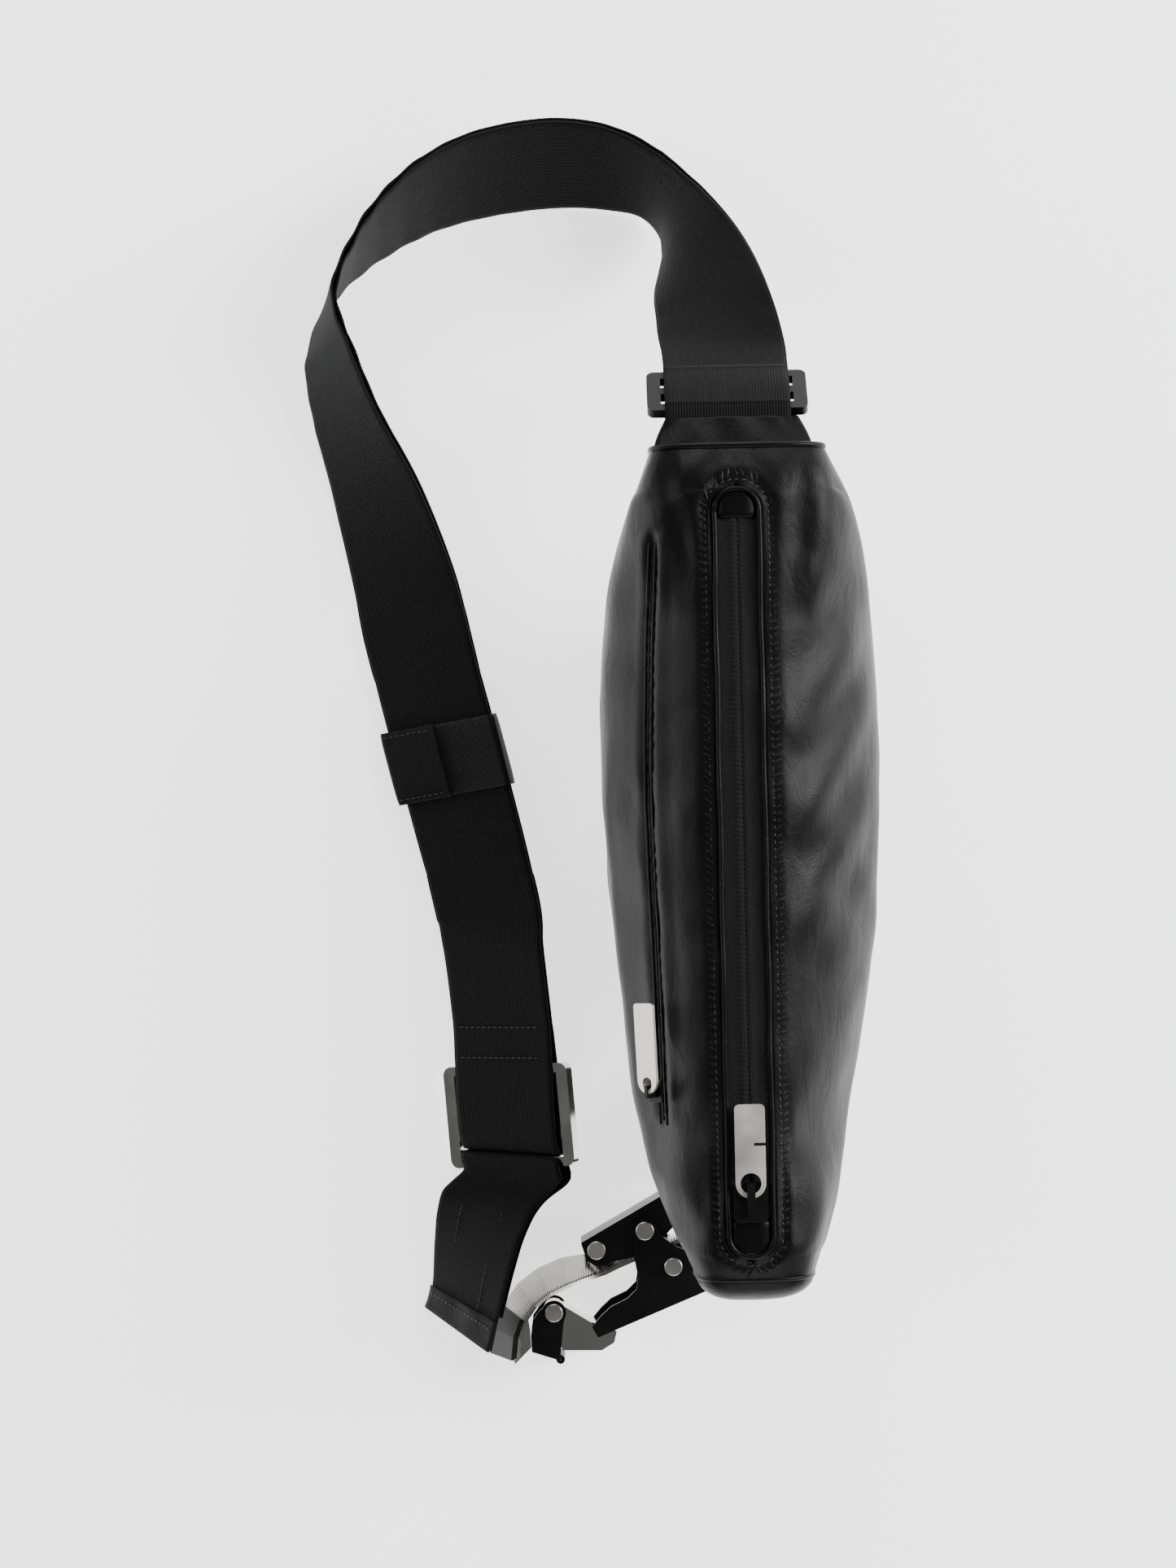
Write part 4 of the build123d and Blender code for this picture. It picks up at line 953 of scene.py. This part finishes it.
# Small puckers that the stitching pulls into the leather, on both sides of the row.
pucker_v, pucker_f = [], []
outline = stadium(5.4, 1.0)
chord = lengths_along(outline)
for i in range(int(chord[-1] / STITCH_PITCH)):
    s = (i + rng.uniform(0.3, 0.7)) * STITCH_PITCH
    x, y = at_length(s, chord, outline)
    z, n = surface(x, y)
    out = np.array([np.sign(x) if abs(x) > 4 else x / 8, 0.0, 0.0])
    if y > SLOT_HEAD - 4 or y < SLOT_FOOT + 4:
        out = np.array([x / 12, np.sign(y), 0.0])
    out = unit(out - n * (out @ n))
    way = unit(out + np.cross(n, out) * rng.uniform(0.3, 0.75) * (1 if x > 0 else -1))
    side = np.cross(n, way)
    size = rng.uniform(0.7, 1.15)
    base = len(pucker_v)
    at = np.array([x, y, z]) + n * -0.18
    for t in np.linspace(-1, 1, 6):
        w = (1 - t * t) ** 0.6 * 0.72 * size
        for k in range(5):
            a = math.pi * k / 4
            rise = side * math.cos(a) * w + n * math.sin(a) * w * 0.42
            pucker_v.append((at + way * (t * STITCH_PITCH * size) + rise) * MM)
    pucker_f += grid_faces(6, 5, False, base)
outward(make("zip_welt_puckers", pucker_v, pucker_f, LEATHER, "bag"))


def pocket_bead(shift, sink, inset, radius, sides, flat):
    """A tube along the pocket's mouth: shift moves it sideways and sink lowers it into the leather."""
    pts = []
    for y in np.arange(POCKET_FOOT + inset, POCKET_HEAD - inset, 2.0):
        x = between(POCKET, y) + shift
        z, n = surface(x, y)
        pts.append(np.array([x, y, z]) - n * sink)
    return tube(np.array(pts) * MM, radius * MM, sides, False, flat, up=(-0.6, 0, 0.8))


# Pocket zip: its tape shows as a dark line between two rolled edges.
for tag, shift, sink in (("lip", 1.3, 0.2), ("edge", -1.3, 0.3)):
    v, f = pocket_bead(shift, sink, 0, 0.8, 10, 1.0)
    outward(make(f"pocket_{tag}", v, f, LEATHER_EDGE, "bag"))
v, f = pocket_bead(0.0, 0.4, 2, 0.75, 8, 0.6)
outward(make("pocket_zip", v, f, TAPE, "bag", ["pocket_tape", "pocket_coil"]))

# Piping round the two end seams.
SEAM_INSET = 0.985
for tag, index, way, radius, stood in (("head", last, 1, 1.3, ["end_piping"]), ("foot", first, -1, 0.85, [])):
    ring = final[index]
    centre = ring.mean(axis=0)
    loop = centre + (ring - centre) * np.array([SEAM_INSET, 1.0, SEAM_INSET])
    loop[:, 1] += way * 0.6
    v, f = tube(loop[:-1] * MM, radius * MM, 10, True, 1.0, up=(0, 1, 0))
    outward(make(f"piping_{tag}", v, f, LEATHER_EDGE, "bag", stood))

# ---- main zip ----
PITCH = 1.85
TAPE_Z, LINE_Z, STOP_Z = 147.35, 147.75, 148.0
TAPE_X = (0.25, 0.5, 0.9, 1.4, 1.9, 2.5, 3.2, 4.2, 5.6, 7.2, 9.4)
tape_y = np.arange(-148, 149, PITCH / 5)
for word, side, phase, depth in (("left", -1, 0.0, 0.17), ("right", 1, 0.9, 0.0765)):
    verts, uvs = [], []
    for y in tape_y:
        for x in TAPE_X:
            crown = 0.95 * math.exp(-((x - 1.6) / 1.7) ** 2)
            coil = depth * math.exp(-((x - 2.1) / 0.9) ** 2) * math.cos(2 * math.pi * (y + phase) / PITCH)
            dip = -0.55 * (1 - min(1, x / 0.6))
            sag = -0.35 * ((x - 5.5) / 4) ** 2 if x > 5.5 else 0
            verts.append((side * x * MM, y * MM, (TAPE_Z + crown + coil + dip + sag) * MM))
            uvs.append((y, side * x))
    obj = make(f"zip_strip_{word}", verts, grid_faces(len(tape_y), len(TAPE_X)), TAPE, "bag",
               [f"zip_tape_{word}", f"zip_coil_{word}"], uvs)
    thicken(obj, 0.6 * MM, 0.0)
    if side > 0:
        obj.data.flip_normals()
# Near-black dashes down the zip's middle: painted shade in the gap where its two halves meet.
line = np.array([(0.02, y, LINE_Z) for y in np.arange(-136, 139, 2.0)]) * MM
stitches("zip_centre_line", line, repeated((0, 0, 1), len(line)), 1.25 * MM, PITCH * MM, "bag", 0.3 * MM,
         PAINTED_GAP_SHADE)


def stop(name, y0, y1, stood):
    """A small leather tab across the zip's end, crowned, its far end rounded by the slot."""
    verts = []
    n_y, n_x = 15, 21
    for i in range(n_y):
        y = y0 + (y1 - y0) * i / (n_y - 1)
        w = min(7.9, max(0.4, slot_half(y) - 0.9))
        fall = 0.54 * math.exp(-((y - y0) / 0.9) ** 2) if abs(y - y0) < 3 else 0
        for j in range(n_x):
            u = -1 + 2 * j / (n_x - 1)
            verts.append((u * w * MM, y * MM, (STOP_Z + 1.25 * (1 - abs(u) ** 4) - fall) * MM))
    obj = make(name, verts, grid_faces(n_y, n_x), LEATHER_EDGE, "bag", stood)
    outward(obj)
    thicken(obj, 1.0 * MM, -1.0)


stop("zip_stop_head", 139.6, 150.2, ["zip_stops"])
stop("zip_stop_foot", -137.0, -150.6, [])

# ---- head tab ----
tab_v = []
n_y, n_x = 16, 29
for layer in (0, 1):
    for i in range(n_y):
        t = i / (n_y - 1)
        y = 168.4 + 12.6 * t
        half = 31.5 - 5.2 * t ** 1.4
        for j in range(n_x):
            u = -1 + 2 * j / (n_x - 1)
            top = 141.6 - 4.2 * t - 3.2 * abs(u) ** 3.5 + 0.35 * math.sin(9 * u + 2 * t) * t
            low = 128.0 - 2.0 * t + 2.5 * abs(u) ** 3
            tab_v.append(((u * half - 0.4) * MM, y * MM, (top if layer == 0 else low) * MM))
size = n_y * n_x
faces = grid_faces(n_y, n_x) + grid_faces(n_y, n_x, False, size)
for i in range(n_y - 1):
    for j in (0, n_x - 1):
        faces.append((i * n_x + j, (i + 1) * n_x + j, size + (i + 1) * n_x + j, size + i * n_x + j))
for i in (0, n_y - 1):
    for j in range(n_x - 1):
        faces.append((i * n_x + j, i * n_x + j + 1, size + i * n_x + j + 1, size + i * n_x + j))
tab = make("head_tab", tab_v, faces, LEATHER_EDGE, "bag", ["head_tab_leather"])
outward(tab)
soft = tab.modifiers.new("round", "BEVEL")
soft.width = 0.0011
soft.segments = 3
soft.limit_method = "ANGLE"

# Webbing from the tab round the slide buckle's near bar and back.
near = np.array([-2.0, 183.9, 132.1])
TAB_ROOT_Y = 175.0
path, nrm = [], []
for y in np.linspace(TAB_ROOT_Y, near[1], 6)[:-1]:
    path.append((near[0], y, near[2] + BAR_SPREAD))
    nrm.append((0, 0, 1))
for a in np.linspace(90, -90, 13):
    ray = np.array([0, math.cos(math.radians(a)), math.sin(math.radians(a))])
    path.append(tuple(near + ray * BAR_SPREAD))
    nrm.append(tuple(ray))
for y in np.linspace(near[1], TAB_ROOT_Y, 6)[1:]:
    path.append((near[0], y, near[2] - BAR_SPREAD))
    nrm.append((0, 0, -1))
path, nrm = np.array(path), np.array(nrm, float)
web("head_tab_web", path, repeated((25, 0, 0), len(path)), nrm, lengths_along(path),
    replaces=["head_tab_webbing"])

# The strap's tongue lies over the slide buckle's middle bar.
far = np.array([-2.0, 198.1, 117.9])
lean = np.array([0.0, math.sqrt(0.5), math.sqrt(0.5)])
share = np.linspace(-0.12, 1.06, 18)
lift = 4.0 + 0.9 * np.sin(np.clip(share, 0, 1) * math.pi)
path = far + (near - far) * share[:, None] + lean * lift[:, None]
web("strap_tongue", path, repeated((25, 0, 0), len(path)), repeated(lean, len(path)), lengths_along(path))

# ---- foot tab ----
FOOT_TAB = [
    ((-2.1, -165.3, 4.8), (-2.1, -165.3, 24.8)),
    ((5.5, -161.0, 4.8), (5.5, -161.0, 24.8)),
    ((13.5, -157.5, 13.0), (8.0, -153.5, 31.5)),
    ((17.0, -151.0, 34.0), (-1.0, -149.5, 43.0)),
    ((17.0, -147.0, 54.0), (-3.0, -146.5, 56.0)),
    ((16.0, -144.0, 71.0), (-4.0, -144.0, 71.0)),
]
foot_band = Ribbon(FOOT_TAB, 1.6, 20.0)
web("foot_tab_band", foot_band.at, foot_band.half, foot_band.normal, foot_band.s,
    replaces=["foot_tab_webbing"], across=14)

# The upright loop of webbing round the buckle's pin, along the buckle's own axes e1 and e2.
angle = math.radians(22.0)
e1 = np.array([math.cos(angle), math.sin(angle), 0])
e2 = np.array([-math.sin(angle), math.cos(angle), 0])
pivot = np.array([-40.5, -155.0, 0.0])
path, nrm = [], []
for cx, a0 in ((26.5, -90), (13.5, 90)):
    for a in np.linspace(a0, a0 + 180, 13):
        ray = e1 * math.cos(math.radians(a)) + e2 * math.sin(math.radians(a))
        path.append(pivot + e1 * cx + e2 * -24.0 + ray * BAR_SPREAD + np.array([0, 0, 14.8]))
        nrm.append(ray)
path.append(path[0])
nrm.append(nrm[0])
path = np.array(path)
web("foot_tab_ring", path, repeated((0, 0, 10), len(path)), np.array(nrm), lengths_along(path),
    replaces=["foot_tab_loop"], across=14)

# ---- hardware: the CAD shapes with softened edges and their own finishes ----
FINISH = (   # material, then each node with the width of its softened edges in mm
    (NICKEL, {"zip_pull": 0.35, "pocket_pull": 0.25}),
    (BLACK, {"zip_slider": 0.35, "pocket_slider": 0.2, "slide_buckle": 0.8, "buckle_base": 0.3,
             "buckle_lever": 0.25, "band_anchor": 0.25, "catch_bracket": 0.3}),
    (CHROME, {"adjuster_ring": 0.55, "lock_pawl": 0.3, "grip_cam": 0.3, "band_carrier": 0.35,
              "catch_plate": 0.45}),
    (STEEL, {"base_rivets": 0.3, "lever_rivet": 0.3, "catch_rivet": 0.3, "lock_spring": 0.0,
             "cam_spring": 0.0}),
    (BAND_STEEL, {"toothed_band": 0.15, "band_teeth": 0.12}),
)
for mat, name, width in [(mat, *item) for mat, widths in FINISH for item in widths.items()]:
    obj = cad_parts[name]
    obj.data.materials.clear()
    obj.data.materials.append(mat)
    if width:
        bevel = obj.modifiers.new("edges", "BEVEL")
        bevel.width = width * MM
        bevel.segments = 3
        bevel.limit_method = "ANGLE"
        bevel.angle_limit = math.radians(35)
        bevel.harden_normals = True

# ---- floor and light ----
FLOOR = 60   # metres each way
mesh = bpy.data.meshes.new("floor")
corners = [(-FLOOR, -FLOOR, 0), (FLOOR, -FLOOR, 0), (FLOOR, FLOOR, 0), (-FLOOR, FLOOR, 0)]
mesh.from_pydata(corners, [], [(0, 1, 2, 3)])
floor = bpy.data.objects.new("floor", mesh)
bpy.context.scene.collection.objects.link(floor)
white, _, bsdf = new_material("floor_white", (0.93, 0.93, 0.93), 0.9)
bsdf.inputs["Emission Color"].default_value = (1.0, 1.0, 1.0, 1.0)
bsdf.inputs["Emission Strength"].default_value = 1.7
floor.data.materials.append(white)

world = bpy.data.worlds.new("world")
bpy.context.scene.world = world
world.use_nodes = True
background = world.node_tree.nodes["Background"]
background.inputs["Color"].default_value = (1.0, 1.0, 1.0, 1.0)
background.inputs["Strength"].default_value = 0.14


def softbox(name, place, size, power, aim=(0, 0, 0.05)):
    """A rectangular lamp aimed at the bag."""
    data = bpy.data.lights.new(name, "AREA")
    data.shape = "RECTANGLE"
    data.size, data.size_y = size
    data.energy = power
    lamp = bpy.data.objects.new(name, data)
    bpy.context.scene.collection.objects.link(lamp)
    lamp.location = place
    lamp.rotation_mode = "QUATERNION"
    lamp.rotation_quaternion = (Vector(aim) - Vector(place)).to_track_quat("-Z", "Y")


softbox("key", (2.6, 0.9, 1.7), (1.2, 2.6), 215)
softbox("fill", (-2.7, 0.5, 1.6), (1.0, 2.6), 38)
softbox("end", (0.0, 2.9, 1.8), (2.6, 0.9), 70)
softbox("foot", (0.2, -3.0, 1.8), (2.6, 0.9), 50)
